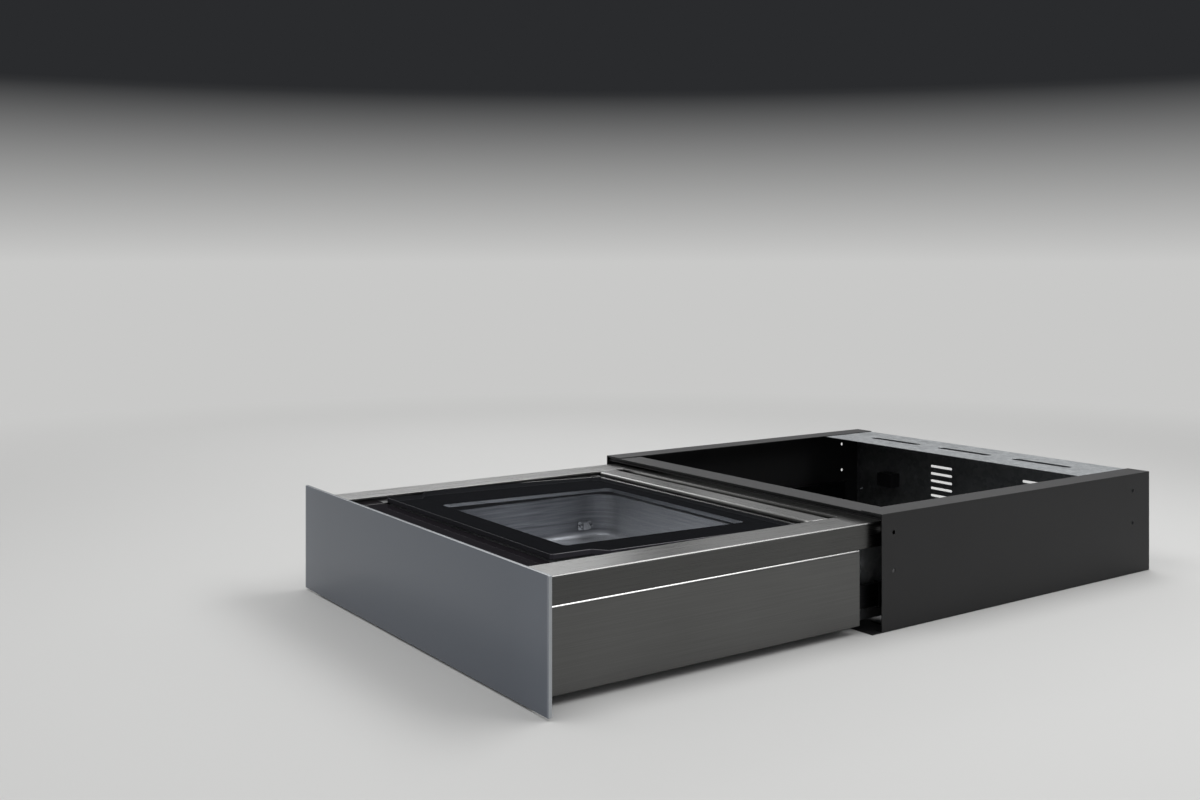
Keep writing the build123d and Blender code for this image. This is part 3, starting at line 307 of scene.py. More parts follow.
# the lid frame's pale tone is painted light: seen through the window, its walls stand in for the lit band
# along the window's edge
frameProfile = brushedSteel("paleFrameProfilePaintedLight", "#d6d8da", "#a4a6aa", (90, 90, 1.5), 0.5, 0.05)
stripEdge = printedGlass("groundStripEdge", "#3c3c42", 0.3)
blackAbs = grainedCoat("blackMouldedAbs", "#131316", 0.42)
blackEnamel = grainedCoat("satinBlackPowderCoat", "#0f0f11", 0.52, 0.9, 0.1)
greyNylon = grainedCoat("greyNylon", "#8d8f92", 0.45)
epdm = grainedCoat("epdmRubber", "#1b1b1d", 0.7, 0.8, 0.2)
silicone = grainedCoat("redSilicone", "#8a4136", 0.55, 0.8, 0.1)
glassCloth = grainedCoat("glassClothTape", "#8f7450", 0.6, 0.5, 0.3)
castAluminium = grainedCoat("castAluminium", "#a6a8ab", 0.42, 1.0, 0.3, 1.0)
motorPaint = grainedCoat("greyMotorPaint", "#3a3d42", 0.4, 0.8, 0.2)
laminate = grainedCoat("greenLaminate", "#1c5532", 0.35, 1.0, 0.1)
blackZinc = brushedSteel("blackZincSteel", "#2b2b2d", "#202022", (1.2, 40, 1.2), 0.35)
copperWire = brushedSteel("enamelledCopperWire", "#b8683c", "#8c4423", (40, 40, 0.7), 0.3, 0.4)
coreSteel = brushedSteel("stackedCoreSteel", "#6d7074", "#3f4246", (40, 0.9, 40), 0.45, 0.3)
print("materials ready")

# finish of each node, and the width in mm to which its edges are rounded (none: the node itself stays)
finishes = {
    "front_backing": (blackEnamel, 0.4), "panel_brackets": (zincSheet, 0.5),
    "deck": (stainlessDeck, 0.25), "side_cover_left": (stainlessSide, None),
    "side_cover_right": (stainlessSide, None), "rear_cover": (stainlessCover, None),
    "chamber_tub": (chamberSteel, 0.2), "chassis_plate": (zincSheet, 0.25),
    "touch_carrier": (blackAbs, 0.3), "touch_board": (laminate, 0.2),
    "lid_surround_left": (blackAbs, 0.3), "lid_surround_right": (blackAbs, 0.3),
    "lid_frame": (frameProfile, 0.5), "counter_bar": (silicone, 0.9),
    "hinge_arms": (blackEnamel, 0.3), "hinge_blocks": (blackEnamel, 0.5), "hinge_pins": (groundSteel, 0.3),
    "suction_filter": (groundSteel, None), "sealing_bar": (castAluminium, 0.5),
    "heating_band": (glassCloth, 0.2), "lift_pistons": (groundSteel, 0.3),
    "lift_cylinders": (castAluminium, 0.5), "tray_floor": (zincSheet, 0.25), "tray_sides": (zincSheet, 0.25),
    # the casing's floor, sides, front bar and rail and all the runners are dark, partly their finish and
    # partly painted shade for the niche they stand in
    "tray_front": (zincSheet, 0.25), "tray_rear": (zincSheet, 0.25), "casing_floor": (blackEnamel, 0.25),
    "casing_side_left": (blackEnamel, 0.25), "casing_side_right": (blackEnamel, 0.25),
    "casing_rear": (zincSheet, 0.25), "top_front_bar": (blackEnamel, 0.25),
    "top_rear_plate": (zincSheet, 0.25), "front_rail": (blackEnamel, 0.5), "mains_inlet": (blackAbs, 0.4),
    "latch_housing": (blackAbs, 0.4), "latch_plunger": (greyNylon, None), "runners_fixed": (blackZinc, 0.2),
    "runner_brackets": (blackZinc, 0.3), "runner_middle_left": (blackZinc, 0.2),
    "runner_middle_right": (blackZinc, 0.2), "runners_inner": (blackZinc, 0.2), "pump_buffers": (epdm, 1.2),
    "pump_cradle": (zincSheet, 0.5), "pump_motor": (motorPaint, None), "pump_head": (castAluminium, 0.8),
    "exhaust_filter": (greyNylon, None), "valve_block": (castAluminium, 0.6),
    "valve_coils": (motorPaint, 1.2), "vacuum_hoses": (epdm, None), "pressure_sensor": (greyNylon, 0.8),
    "power_board": (laminate, None), "seal_transformer": (motorPaint, None), "fan_housing": (blackAbs, 0.5),
    "fan_rotor": (blackAbs, None), "front_glass": (panelGlass, None), "touch_glass": (stripGlass, None),
    "lid_glass": (borderPrint, None), "lid_gasket": (epdm, None), "casing_screws": (zincPlated, None),
}
bodyOf = {node: body for body, members in record["behaviour"]["bodies"].items() for node in members}


def camelCase(words):
    first, *rest = words.split("_")
    return first + "".join(word.capitalize() for word in rest)


def evenNormals(piece):
    # large faces keep their own normals, so that a flat plate mirrors as a flat one
    piece.modifiers.new("normals", "WEIGHTED_NORMAL").keep_sharp = True


def addPiece(mesh, finish, body, replaced=(), smoothAngle=35):
    # an object at the origin that rides on a body, smooth where its faces meet at a small angle
    mesh.polygons.foreach_set("use_smooth", np.ones(len(mesh.polygons), bool))
    mesh.set_sharp_from_angle(angle=math.radians(smoothAngle))
    piece = bpy.data.objects.new(mesh.name, mesh)
    bpy.context.scene.collection.objects.link(piece)
    for material in finish if isinstance(finish, (list, tuple)) else [finish]:
        mesh.materials.append(material)
    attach(piece, body)
    if replaced:
        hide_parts(*replaced)
    return piece


def softenedCopy(nodeName, material, width):
    # the node's own shape merged into clean faces, its edges then rounded so that they catch the light
    work = bmesh.new()
    work.from_mesh(nodes[nodeName].data)
    bmesh.ops.remove_doubles(work, verts=work.verts, dist=2e-6)
    bmesh.ops.dissolve_limit(work, angle_limit=math.radians(0.4), verts=work.verts, edges=work.edges)
    mesh = bpy.data.meshes.new(camelCase(nodeName))
    work.to_mesh(mesh)
    work.free()
    piece = addPiece(mesh, material, bodyOf[nodeName], [nodeName], smoothAngle=40)
    edges = piece.modifiers.new("edges", "BEVEL")
    edges.width = width / 1000
    edges.segments = 2
    edges.limit_method = "ANGLE"
    edges.angle_limit = math.radians(40)
    evenNormals(piece)


for nodeName, (material, width) in finishes.items():
    nodes[nodeName].data.materials.clear()
    nodes[nodeName].data.materials.append(material)
    if width:
        softenedCopy(nodeName, material, width)
print("nodes finished:", len(finishes))


def filletedOutline(corners, radii, steps):
    # a counter-clockwise outline whose corners become arcs of their radii; every point carries the
    # outline's outward normal there, so that the outline can be drawn in by an inset
    corners = np.asarray(corners, float)
    radii = np.broadcast_to(np.asarray(radii, float), (len(corners),))
    toBefore = np.roll(corners, 1, axis=0) - corners
    toAfter = np.roll(corners, -1, axis=0) - corners
    toBefore /= np.linalg.norm(toBefore, axis=1, keepdims=True)
    toAfter /= np.linalg.norm(toAfter, axis=1, keepdims=True)
    halfAngle = np.arccos(np.clip((toBefore * toAfter).sum(axis=1), -1, 1)) / 2
    start = corners + toBefore * (radii / np.tan(halfAngle))[:, None]
    normalBefore = np.stack([-toBefore[:, 1], toBefore[:, 0]], axis=1)
    normalAfter = np.stack([toAfter[:, 1], -toAfter[:, 0]], axis=1)
    angle = np.arctan2(normalBefore[:, 1], normalBefore[:, 0])
    sweep = np.arctan2(normalAfter[:, 1], normalAfter[:, 0]) - angle
    sweep = (sweep + np.pi) % (2 * np.pi) - np.pi
    side = np.sign(sweep)[:, None]
    centre = start - normalBefore * radii[:, None] * side
    angles = angle[:, None] + sweep[:, None] * np.linspace(0, 1, steps)[None, :]
    normals = np.stack([np.cos(angles), np.sin(angles)], axis=2)
    points = centre[:, None, :] + normals * (radii[:, None] * side)[:, :, None]
    return points.reshape(-1, 2), normals.reshape(-1, 2)


def ringFaces(rows, columns):
    # quads between neighbouring closed rows of a grid
    row, column = np.meshgrid(np.arange(rows - 1), np.arange(columns), indexing="ij")
    after = (column + 1) % columns
    quads = np.stack([row * columns + column, row * columns + after,
                      (row + 1) * columns + after, (row + 1) * columns + column], axis=2)
    return quads.reshape(-1, 4).tolist()


def rectangle(x0, x1, y0, y1):
    return [(x0, y0), (x1, y0), (x1, y1), (x0, y1)]


def nodeBox(nodeName):
    # low and high corner of a node, in mm
    return [np.array(corner) * 1000 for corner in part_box(nodeName)]


def plateSurface(outline, normals, profile):
    # a plate: the outline drawn in by each profile point's inset and set at its height, lowest ring
    # first, with a flat cap at both ends: point(i, j) = (outline(j) - normal(j) inset(i), height(i))
    profile = np.asarray(profile, float)
    rings = outline[None] - normals[None] * profile[:, 0][:, None, None]
    heights = np.broadcast_to(profile[:, 1][:, None, None], (*rings.shape[:2], 1))
    points = np.concatenate([rings, heights], axis=2).reshape(-1, 3)
    count = len(outline)
    sides = ringFaces(len(profile), count)
    bottom = list(range(count))[::-1]
    top = list(range((len(profile) - 1) * count, len(profile) * count))
    return points, sides + [bottom, top]


def roundedEdge(inset, low, high, steps=3):
    # profile of a plate's edge from low to high with both arrises rounded to the inset
    turn = np.linspace(0, np.pi / 2, steps + 1)
    lower = np.stack([inset * (1 - np.sin(turn)), low + inset * (1 - np.cos(turn))], axis=1)
    upper = np.stack([inset * (1 - np.cos(turn)), high - inset * (1 - np.sin(turn))], axis=1)
    return np.concatenate([lower, upper])


def newMesh(name, points, faces):
    mesh = bpy.data.meshes.new(name)
    mesh.from_pydata((np.asarray(points) / 1000).tolist(), [], faces)
    mesh.validate()
    return mesh


def barSurface(outline, ends):
    # an outline in X and Z carried straight along Y: point(i, j) = (outline(j).x, ends(i), outline(j).z)
    count = len(outline)
    points = np.concatenate([np.column_stack([outline[:, 0], np.full(count, end), outline[:, 1]])
                             for end in ends])
    faces = ringFaces(2, count) + [list(range(count))[::-1], list(range(count, 2 * count))]
    return points, [face[::-1] for face in faces]


# lower side covers: bent sheet whose rounded upper edge is the ledge below the deck
sideCoverSettings = {"sheet": 1.0, "bend": 3.2, "flange": 16.0, "arris": 0.2}


def buildSideCover(s, side):
    low, high = nodeBox("side_cover_right")
    inner, outer, sheet = high[0] - s["flange"], high[0], s["sheet"]
    corners = [(outer - sheet, low[2]), (outer, low[2]), (outer, high[2]), (inner, high[2]),
               (inner, high[2] - sheet), (outer - sheet, high[2] - sheet)]
    arris = s["arris"]
    radii = [arris, arris, s["bend"], arris, arris, s["bend"] - sheet]
    outline, _ = filletedOutline(corners, radii, 8)
    points, faces = barSurface(outline, (low[1], high[1]))
    if side < 0:
        points, faces = points * (-1, 1, 1), [face[::-1] for face in faces]
    name = "right" if side > 0 else "left"
    evenNormals(addPiece(newMesh("sideCover" + name.capitalize(), points, faces), stainlessSide, "drawer",
                         ["side_cover_" + name]))


for side in (-1, 1):
    buildSideCover(sideCoverSettings, side)
print("side covers built")

# rear cover: a plate with a rounded lip at its front and sides, then a slope down to a channel
rearCoverSettings = {"flat": 30.0, "slope": 6.0, "drop": 6.0, "sheet": 1.0, "corner": 12.0, "endCorner": 0.3,
                     "lip": 3.2, "skirt": 5.5, "skirtInset": 1.2, "channelInset": 0.4}


def buildRearCover(s):
    low, high = nodeBox("rear_cover")
    behind = low[1] + s["flat"]
    radii = [s["corner"]] * 2 + [s["endCorner"]] * 2
    outline, normals = filletedOutline(rectangle(low[0], high[0], low[1], behind), radii, 10)
    # the plate's edge is rounded at its front and sides, and stays square where the slope begins
    normals = normals * np.clip((behind - outline[:, 1]) / s["lip"] / 2, 0, 1)[:, None]
    turn = np.linspace(0, np.pi / 2, 8)
    edge = np.stack([s["lip"] * (1 - np.cos(turn)), high[2] - s["lip"] * (1 - np.sin(turn))], axis=1)
    profile = np.concatenate([[(s["skirtInset"], high[2] - s["skirt"]), (0, high[2] - s["skirt"])], edge])
    points, faces = plateSurface(outline, normals, profile)
    floor, sheet = high[2] - s["drop"], s["sheet"]
    end = behind + s["slope"]
    sheetOutline = np.array([(behind, high[2] - sheet), (end, floor - sheet), (high[1], floor - sheet),
                             (high[1], floor), (end, floor), (behind, high[2])])
    sides = np.array([low[0] + s["channelInset"], high[0] - s["channelInset"]])
    channel = np.concatenate([np.column_stack([np.full(len(sheetOutline), x), sheetOutline]) for x in sides])
    count = len(sheetOutline)
    more = ringFaces(2, count) + [list(range(count))[::-1], list(range(count, 2 * count))]
    faces += [[corner + len(points) for corner in face] for face in more]
    evenNormals(addPiece(newMesh("rearCover", np.concatenate([points, channel]), faces), stainlessCover,
                         "drawer", ["rear_cover"]))


buildRearCover(rearCoverSettings)
print("rear cover built")

# front panel: one sheet of glass, its arrises ground and polished
frontGlassSettings = {"corner": 1.2, "arris": 0.5}


def buildFrontGlass(s):
    low, high = nodeBox("front_glass")
    outline, normals = filletedOutline(rectangle(low[0], high[0], low[2], high[2]), s["corner"], 6)
    points, faces = plateSurface(outline, normals, roundedEdge(s["arris"], -high[1], -low[1]))
    points = points[:, [0, 2, 1]] * (1, -1, 1)  # the plate stands upright, its face to the front
    glass = addPiece(newMesh("frontGlass", points, faces), [panelGlass, panelEdge], "drawer", ["front_glass"])
    # the back and the end faces show the paint's edge and the polish, their pale grey partly a painted
    # highlight along the edges; the face and its arris the colour
    index = np.ones(len(faces), int)
    index[-1] = 0
    index[-2] = 0
    index[-2 - len(outline):-2] = 0
    glass.data.polygons.foreach_set("material_index", index)
    evenNormals(glass)


buildFrontGlass(frontGlassSettings)

# touch strip in front of the lid
touchStripSettings = {"corner": 1.5, "arris": 0.4}


def buildTouchStrip(s):
    low, high = nodeBox("touch_glass")
    outline, normals = filletedOutline(rectangle(low[0], high[0], low[1], high[1]), s["corner"], 5)
    points, faces = plateSurface(outline, normals, roundedEdge(s["arris"], low[2], high[2]))
    strip = addPiece(newMesh("touchStrip", points, faces), [stripGlass, stripEdge], "drawer", ["touch_glass"])
    edge = np.ones(len(faces), int)
    edge[-2:] = 0
    strip.data.polygons.foreach_set("material_index", edge)
    evenNormals(strip)


buildTouchStrip(touchStripSettings)
print("front glass and touch strip built")

# lid, in its own plane: x to the right, y from the hinge axis to the back, z up from the axis
lidSettings = {
    "hinge": (0.0, -64.0, 118.5),
    "ajar": 1.0,
    "frontHalf": 196.0,
    "rearHalf": 211.0,
    "front": -341.0,
    "rear": -1.5,
    "step": -290.0,
    "ramp": 13.0,
    "notch": (-11.0, 202.5),
    "low": -1.45,
    "high": 4.5,
    "arris": 0.7,
    "windowHalf": 143.0,
    "windowFront": -289.0,
    "windowRear": -28.0,
    "windowCorner": 6.0,
    "corners": (4, 6, 6, 1.5, 1.2, 1.5),  # radii from the front to the notch at the rear
    "printInset": 0.1,
    "printGap": 0.01,
    "printThickness": 0.035,
}


def onLid(points):
    # from the lid's plane to the frame: turned by the ajar angle about X, then moved to the hinge
    angle = math.radians(lidSettings["ajar"])
    points = np.asarray(points, float)
    back, up = points[:, 1], points[:, 2]
    return np.stack([
        points[:, 0],
        back * math.cos(angle) + up * math.sin(angle),
        -back * math.sin(angle) + up * math.cos(angle),
    ], axis=1) + lidSettings["hinge"]


def lidOutline(s):
    notchY, notchX = s["notch"]
    right = [(s["frontHalf"], s["front"]), (s["frontHalf"], s["step"]),
             (s["rearHalf"], s["step"] + s["ramp"]), (s["rearHalf"], notchY), (notchX, notchY),
             (notchX, s["rear"])]
    left = [(-x, y) for x, y in reversed(right)]
    return filletedOutline(right + left, s["corners"] + s["corners"][::-1], 7)


def flatRing(name, outer, inner, height, place):
    # a flat sheet with a hole: the space between both outlines filled at one height
    work = bmesh.new()
    loops = []
    for outline in (outer, inner):
        placed = place(np.column_stack([outline, np.full(len(outline), height)])) / 1000
        verts = [work.verts.new(point) for point in placed]
        loops += [work.edges.new((verts[i - 1], verts[i])) for i in range(len(verts))]
    bmesh.ops.triangle_fill(work, use_beauty=True, use_dissolve=False, edges=loops)
    bmesh.ops.recalc_face_normals(work, faces=work.faces)
    mesh = bpy.data.meshes.new(name)
    work.to_mesh(mesh)
    work.free()
    if sum(face.normal.z for face in mesh.polygons) < 0:
        mesh.flip_normals()
    return mesh


def buildLid(s):
    outline, normals = lidOutline(s)
    points, faces = plateSurface(outline, normals, roundedEdge(s["arris"], s["low"], s["high"]))
    mesh = newMesh("lidPane", onLid(points), faces)
    pane = addPiece(mesh, [paneGlass, paneLitEdge, paneShadedEdge], "lid", ["lid_glass"])
    facing = np.array([face.normal for face in mesh.polygons])
    # the right edge's faces are lighter, a painted reflection; the other edges are dark, painted shade
    index = np.where(facing[:, 0] > 0.3, 1, 2)
    index[-2:] = 0
    mesh.polygons.foreach_set("material_index", index)
    evenNormals(pane)

    # black border printed under the pane, the window left clear
    window, _ = filletedOutline(rectangle(-s["windowHalf"], s["windowHalf"], s["windowFront"],
                                          s["windowRear"]), s["windowCorner"], 12)
    outer = outline - normals * (s["arris"] + s["printInset"])
    sheet = flatRing("lidPrint", outer, window, s["low"] - s["printGap"], onLid)
    border = addPiece(sheet, borderPrint, "lid")
    wall = border.modifiers.new("wall", "SOLIDIFY")
    wall.thickness = s["printThickness"] / 1000
    wall.offset = -1


buildLid(lidSettings)


# gasket: a crowned ring of rubber under the lid's frame
gasketSettings = {"half": 182.0, "front": -325.0, "rear": -12.0, "corner": 30.0, "width": 6.0,
                  "low": -10.95, "high": -8.45, "steps": 14}


def buildGasket(s):
    # the crown's section: inset(t) = (1 - cos t) width / 2, drop(t) = (sin t) ^ 0.6 times the height
    sides = rectangle(-s["half"], s["half"], s["front"], s["rear"])
    outline, normals = filletedOutline(sides, s["corner"], 24)
    turn = np.linspace(0, np.pi, s["steps"])
    inset = (1 - np.cos(turn)) * s["width"] / 2
    height = s["high"] - np.sin(turn) ** 0.6 * (s["high"] - s["low"])
    rings = outline[None] - normals[None] * inset[:, None, None]
    points = np.concatenate([rings, np.broadcast_to(height[:, None, None], (*rings.shape[:2], 1))], axis=2)
    count = len(outline)
    faces = [face[::-1] for face in ringFaces(s["steps"], count)]
    last = (s["steps"] - 1) * count
    faces += [[j, (j + 1) % count, last + (j + 1) % count, last + j] for j in range(count)]
    mesh = newMesh("lidGasket", onLid(points.reshape(-1, 3)), faces)
    addPiece(mesh, epdm, "lid", ["lid_gasket"], smoothAngle=50)


buildGasket(gasketSettings)
print("lid built")


def axisFrame(axis):
    # two directions across an axis that make a right-handed frame with it
    axis = np.asarray(axis, float)
    across = np.cross(axis, (0.36, 0.48, 0.8))
    across /= np.linalg.norm(across)
    return across, np.cross(axis, across), axis


def turned(profile, centre, axis, steps=24, lobes=6):
    # a turned shape, its profile's rows from base to top: a radius, a height and the depth of its lobes
    # radius(i, j) = radius(i) + depth(i) cos(lobes angle(j)), with a flat cap at both ends
    rows = np.array([(*row, 0)[:3] for row in profile], float)
    across, up, axis = axisFrame(axis)
    angle = np.linspace(0, 2 * np.pi, steps, endpoint=False)
    radius = rows[:, 0, None] + rows[:, 2, None] * np.cos(lobes * angle)
    around = np.cos(angle)[:, None] * across + np.sin(angle)[:, None] * up
    points = np.asarray(centre) + radius[..., None] * around + rows[:, 1, None, None] * axis
    last = (len(rows) - 1) * steps
    caps = [list(range(steps))[::-1], list(range(last, last + steps))]
    return points.reshape(-1, 3), ringFaces(len(rows), steps) + caps


def block(low, high, radius):
    # a box with rounded upright edges and chamfered arrises
    outline, normals = filletedOutline(rectangle(low[0], high[0], low[1], high[1]), radius, 3)
    return plateSurface(outline, normals, roundedEdge(radius * 0.5, low[2], high[2], 1))


def screwHead(centre, axis, radius, height, shank=0.0):
    # pan head with a six-lobed socket
    socket = radius * 0.45
    lobe = socket * 0.14
    rows = [(radius, 0), (radius, height * 0.3), (radius * 0.92, height * 0.68),
            (radius * 0.7, height * 0.95), (socket * 1.2, height), (socket, height * 0.99, lobe),
            (socket * 0.9, height * 0.35, lobe)]
    if shank:
        rows = [(radius * 0.55, -shank), (radius * 0.55, 0)] + rows
    return turned(rows, centre, axis)


def shapedPiece(name, shapes, finish, nodeName, slotFrom=None):
    # closed shapes in one mesh; each is its points, its faces and the index of its finish. The piece
    # replaces the node, or, when slotFrom is given, rides along with it as a new piece
    faces, index, offset = [], [], 0
    for points, polygons, *material in shapes:
        faces += [[corner + offset for corner in face] for face in polygons]
        index += [material[0] if material else 0] * len(polygons)
        offset += len(points)
    mesh = newMesh(name, np.concatenate([shape[0] for shape in shapes]), faces)
    mesh.polygons.foreach_set("material_index", index)
    work = bmesh.new()
    work.from_mesh(mesh)
    bmesh.ops.recalc_face_normals(work, faces=work.faces)
    work.to_mesh(mesh)
    work.free()
    if slotFrom:
        evenNormals(addPiece(mesh, finish, bodyOf[nodeName], ()))
    else:
        evenNormals(addPiece(mesh, finish, bodyOf[nodeName], [nodeName]))


# screws: pan heads with six-lobed sockets
screwSettings = {
    "casing": {"at": [(side * 269.0, 540.0, z) for side in (-1, 1) for z in (34.5, 103.5)], "axis": (0, 1, 0),
               "radius": 3.8, "height": 1.8, "shank": 5.0},
    "fan": {"at": [(-190 + dx, 47.0, 62 + dz) for dx in (-25, 25) for dz in (-25, 25)], "axis": (0, 1, 0),
            "radius": 2.6, "height": 1.5},
    "tray": {"at": [(side * 243.0, 47.0, z) for side in (-1, 1) for z in (24.0, 108.0)], "axis": (0, 1, 0),
             "radius": 3.2, "height": 1.5},
    "latch": {"at": [(dx, 510.3, 40 + dz) for dx in (-11, 11) for dz in (-11, 11)], "axis": (0, -1, 0),
              "radius": 2.2, "height": 1.0},
    "pump": {"at": [(34.0, -26.0, 32.0), (34.0, -26.0, 82.0), (34.0, 22.0, 82.0)], "axis": (-1, 0, 0),
             "radius": 3.4, "height": 2.2},
    "terminalBox": {"at": [(x, y, 104.0) for x in (124, 160) for y in (-11, 7)], "axis": (0, 0, 1),
                    "radius": 1.9, "height": 0.9},
    "board": {"at": [(x, y, 18.6) for x in (-240, -192) for y in (-380, -200)], "axis": (0, 0, 1),
              "radius": 2.6, "height": 1.4},
}


def buildScrews(s):
    # the casing's screws replace their node; each other set rides along with the node that it holds
    holders = {"casing": "casing_screws", "fan": "tray_rear", "tray": "tray_rear", "latch": "latch_housing",
               "pump": "pump_head", "terminalBox": "pump_motor", "board": "power_board"}
    for name, settings in s.items():
        shape = [settings["axis"], settings["radius"], settings["height"], settings.get("shank", 0)]
        heads = [screwHead(at, *shape) for at in settings["at"]]
        slotFrom = None if name == "casing" else "casing_screws"
        shapedPiece(name + "Screws", heads, zincPlated, holders[name], slotFrom)


buildScrews(screwSettings)
print("screws built")

# pump motor: ribbed shell between two bells, with a terminal box on top
motorSettings = {"start": (96.0, -2.0, 64.0), "radius": 34.0, "length": 118.0, "ribs": 24, "rib": 0.9,
                 "box": ((120, -15, 90), (164, 11, 104)), "lid": 2.6}


def buildMotor(s):
    r, length, rib = s["radius"], s["length"], s["rib"]
    rows = [(r - 4, 0), (r - 1, 1), (r, 3), (r, 13), (r - 1.6, 14), (r - 1.6, 17), (r - rib, 18, rib),
            (r - rib, 97, rib), (r - 1.6, 98), (r - 1.6, 101), (r, 102), (r, 109), (r - 2, 113.5),
            (r - 8, length - 1.2), (r - 20, length - 0.4), (6, length)]
    low, high = s["box"]
    middle = high[2] - s["lid"]
    shapedPiece("pumpMotor", [
        turned(rows, s["start"], (1, 0, 0), s["ribs"] * 4, s["ribs"]),
        (*block((low[0] + 0.6, low[1] + 0.6, low[2]), (high[0] - 0.6, high[1] - 0.6, middle - 0.3), 2), 1),
        (*block((low[0], low[1], middle), high, 2.5), 1),
    ], [motorPaint, blackAbs], "pump_motor")


buildMotor(motorSettings)

# exhaust filter: a ribbed cup with a cap, on its spigot
filterSettings = {"base": (20.0, 16.0, 11.0), "radius": 13.0}


def buildExhaustFilter(s):
    r = s["radius"]
    rows = [(6, 0), (6, 8), (r - 1, 8), (r, 9), (r, 22), (r - 0.9, 23), (r - 0.9, 25), (r - 0.3, 26, 0.3),
            (r - 0.3, 50, 0.3), (r - 2.4, 55.6), (r - 6, 59), (r - 9, 60)]
    shapedPiece("exhaustFilter", [turned(rows, s["base"], (0, 0, 1), 64, 16)], greyNylon, "exhaust_filter")


buildExhaustFilter(filterSettings)

# steel clamps on the ends of the vacuum hoses: a band with the housing of its screw
clampSettings = {
    "at": [(-177.0, -123.0, 65.2), (-129.0, -4.0, 65.2), (-67.0, -8.0, 40.0), (26.0, -8.0, 40.0)],
    "radius": 7.7, "width": 5.0,
}


def buildHoseClamps(s):
    r, width = s["radius"], s["width"]
    rows = [(r - 0.6, 0), (r, 0.3), (r, width - 0.3), (r - 0.6, width)]
    shapes = []
    for x, y, z in s["at"]:
        shapes += [turned(rows, (x, y, z), (1, 0, 0), 32),
                   block((x - 0.4, y - 3.4, z + r - 0.8), (x + width + 0.4, y + 3.4, z + r + 2.6), 0.8)]
    shapedPiece("hoseClamps", shapes, zincPlated, "vacuum_hoses", "casing_screws")


buildHoseClamps(clampSettings)

# suction fitting on the chamber's wall: a plate with a square strainer between two posts, and its spigot
suctionSettings = {"wall": -165.0, "middle": (-119.0, 65.2), "plate": (11.0, 6.5, 3.2),
                   "strainer": (4.6, 5.4, 7.2), "post": (9.0, 1.9, 8.6), "spigot": (-123.0, 5.0, 14.0)}


def buildSuctionFitting(s):
    x, (y, z) = s["wall"], s["middle"]
    shapes = []
    for part, radius in (("plate", 1.6), ("strainer", 0.8)):
        halfY, halfZ, reach = s[part]
        points, faces = block((y - halfY, z - halfZ, 0), (y + halfY, z + halfZ, reach), radius)
        shapes.append((points[:, [2, 0, 1]] + (x, 0, 0), faces))
    spread, r, reach = s["post"]
    rows = [(r + 1.2, 0), (r + 1.2, 4), (r, 4.6), (r, reach - 1), (r - 0.5, reach - 0.2), (r - 1.2, reach)]
    shapes += [turned(rows, (x, y + side * spread, z), (1, 0, 0), 20) for side in (-1, 1)]
    at, r, reach = s["spigot"]
    shapes.append(turned([(r, 0), (r, reach - 0.8), (r - 0.8, reach)], (x, at, z), (-1, 0, 0), 28))
    shapedPiece("suctionFitting", shapes, groundSteel, "suction_filter")


buildSuctionFitting(suctionSettings)

# transformer: stacked core, wound coil with its tape, solder tags and a steel foot
transformerSettings = {"centre": (212.0, -296.0), "foot": (28, 34, 11, 17), "core": (24, 30, 17, 69),
                       "coil": (18, 40, 26, 60), "tape": (18.3, 33, 25.7, 60.3), "tags": (-12, -6, 6, 12)}


def buildTransformer(s):
    x, y = s["centre"]
    shapes = []
    for index, (part, radius) in enumerate((("foot", 3), ("core", 0.8), ("coil", 6), ("tape", 6))):
        halfX, halfY, low, high = s[part]
        shapes.append((*block((x - halfX, y - halfY, low), (x + halfX, y + halfY, high), radius), index))
    top = s["coil"][3]
    front = y - s["coil"][1]
    for tag in s["tags"]:
        base, tip = (x + tag - 1.5, front + 2, top - 4), (x + tag + 1.5, front + 2.8, top + 6)
        shapes.append((*block(base, tip, 0.3), 4))
    finish = [zincSheet, coreSteel, copperWire, glassCloth, brass]
    shapedPiece("sealTransformer", shapes, finish, "seal_transformer")


buildTransformer(transformerSettings)

# power board: filter, supply with its heat sink, relays and a terminal row, on brass stand-offs
boardSettings = {
    "board": ((-246, -390, 17), (-186, -190, 18.6)),
    "standOffs": [(x, y) for x in (-240, -192) for y in (-380, -200)],
    # low corner, high corner, corner radius and finish of each block on the board
    "blocks": [((-237, -370, 18.6), (-226, -340, 37), 1.2, 3), ((-210, -369, 18.6), (-196, -352, 34), 1.2, 3),
               ((-236, -325, 18.6), (-216, -297, 21), 1, 2), ((-233, -322, 21), (-219, -300, 44), 2, 6),
               ((-236, -314, 21), (-216, -308, 46), 1, 2), ((-237, -276, 18.6), (-218, -256, 35.4), 1, 2),
               ((-215, -276, 18.6), (-196, -256, 35.4), 1, 2),
               ((-210, -349, 18.6), (-196, -341, 26), 0.8, 2)],
    # fins of the heat sink: first x, pitch, count
    "fins": (-204.0, 2.2, 5), "finBox": (-323, -293, 18.6, 48.0),
    # x, y, radius and height of the capacitors
    "capacitors": [(-210, -318, 5, 25), (-210, -306, 5, 25)],
    "choke": (-218.0, -355.0, 6.0, 15.0),
    "terminals": (-236.0, 7.0, 6),
}


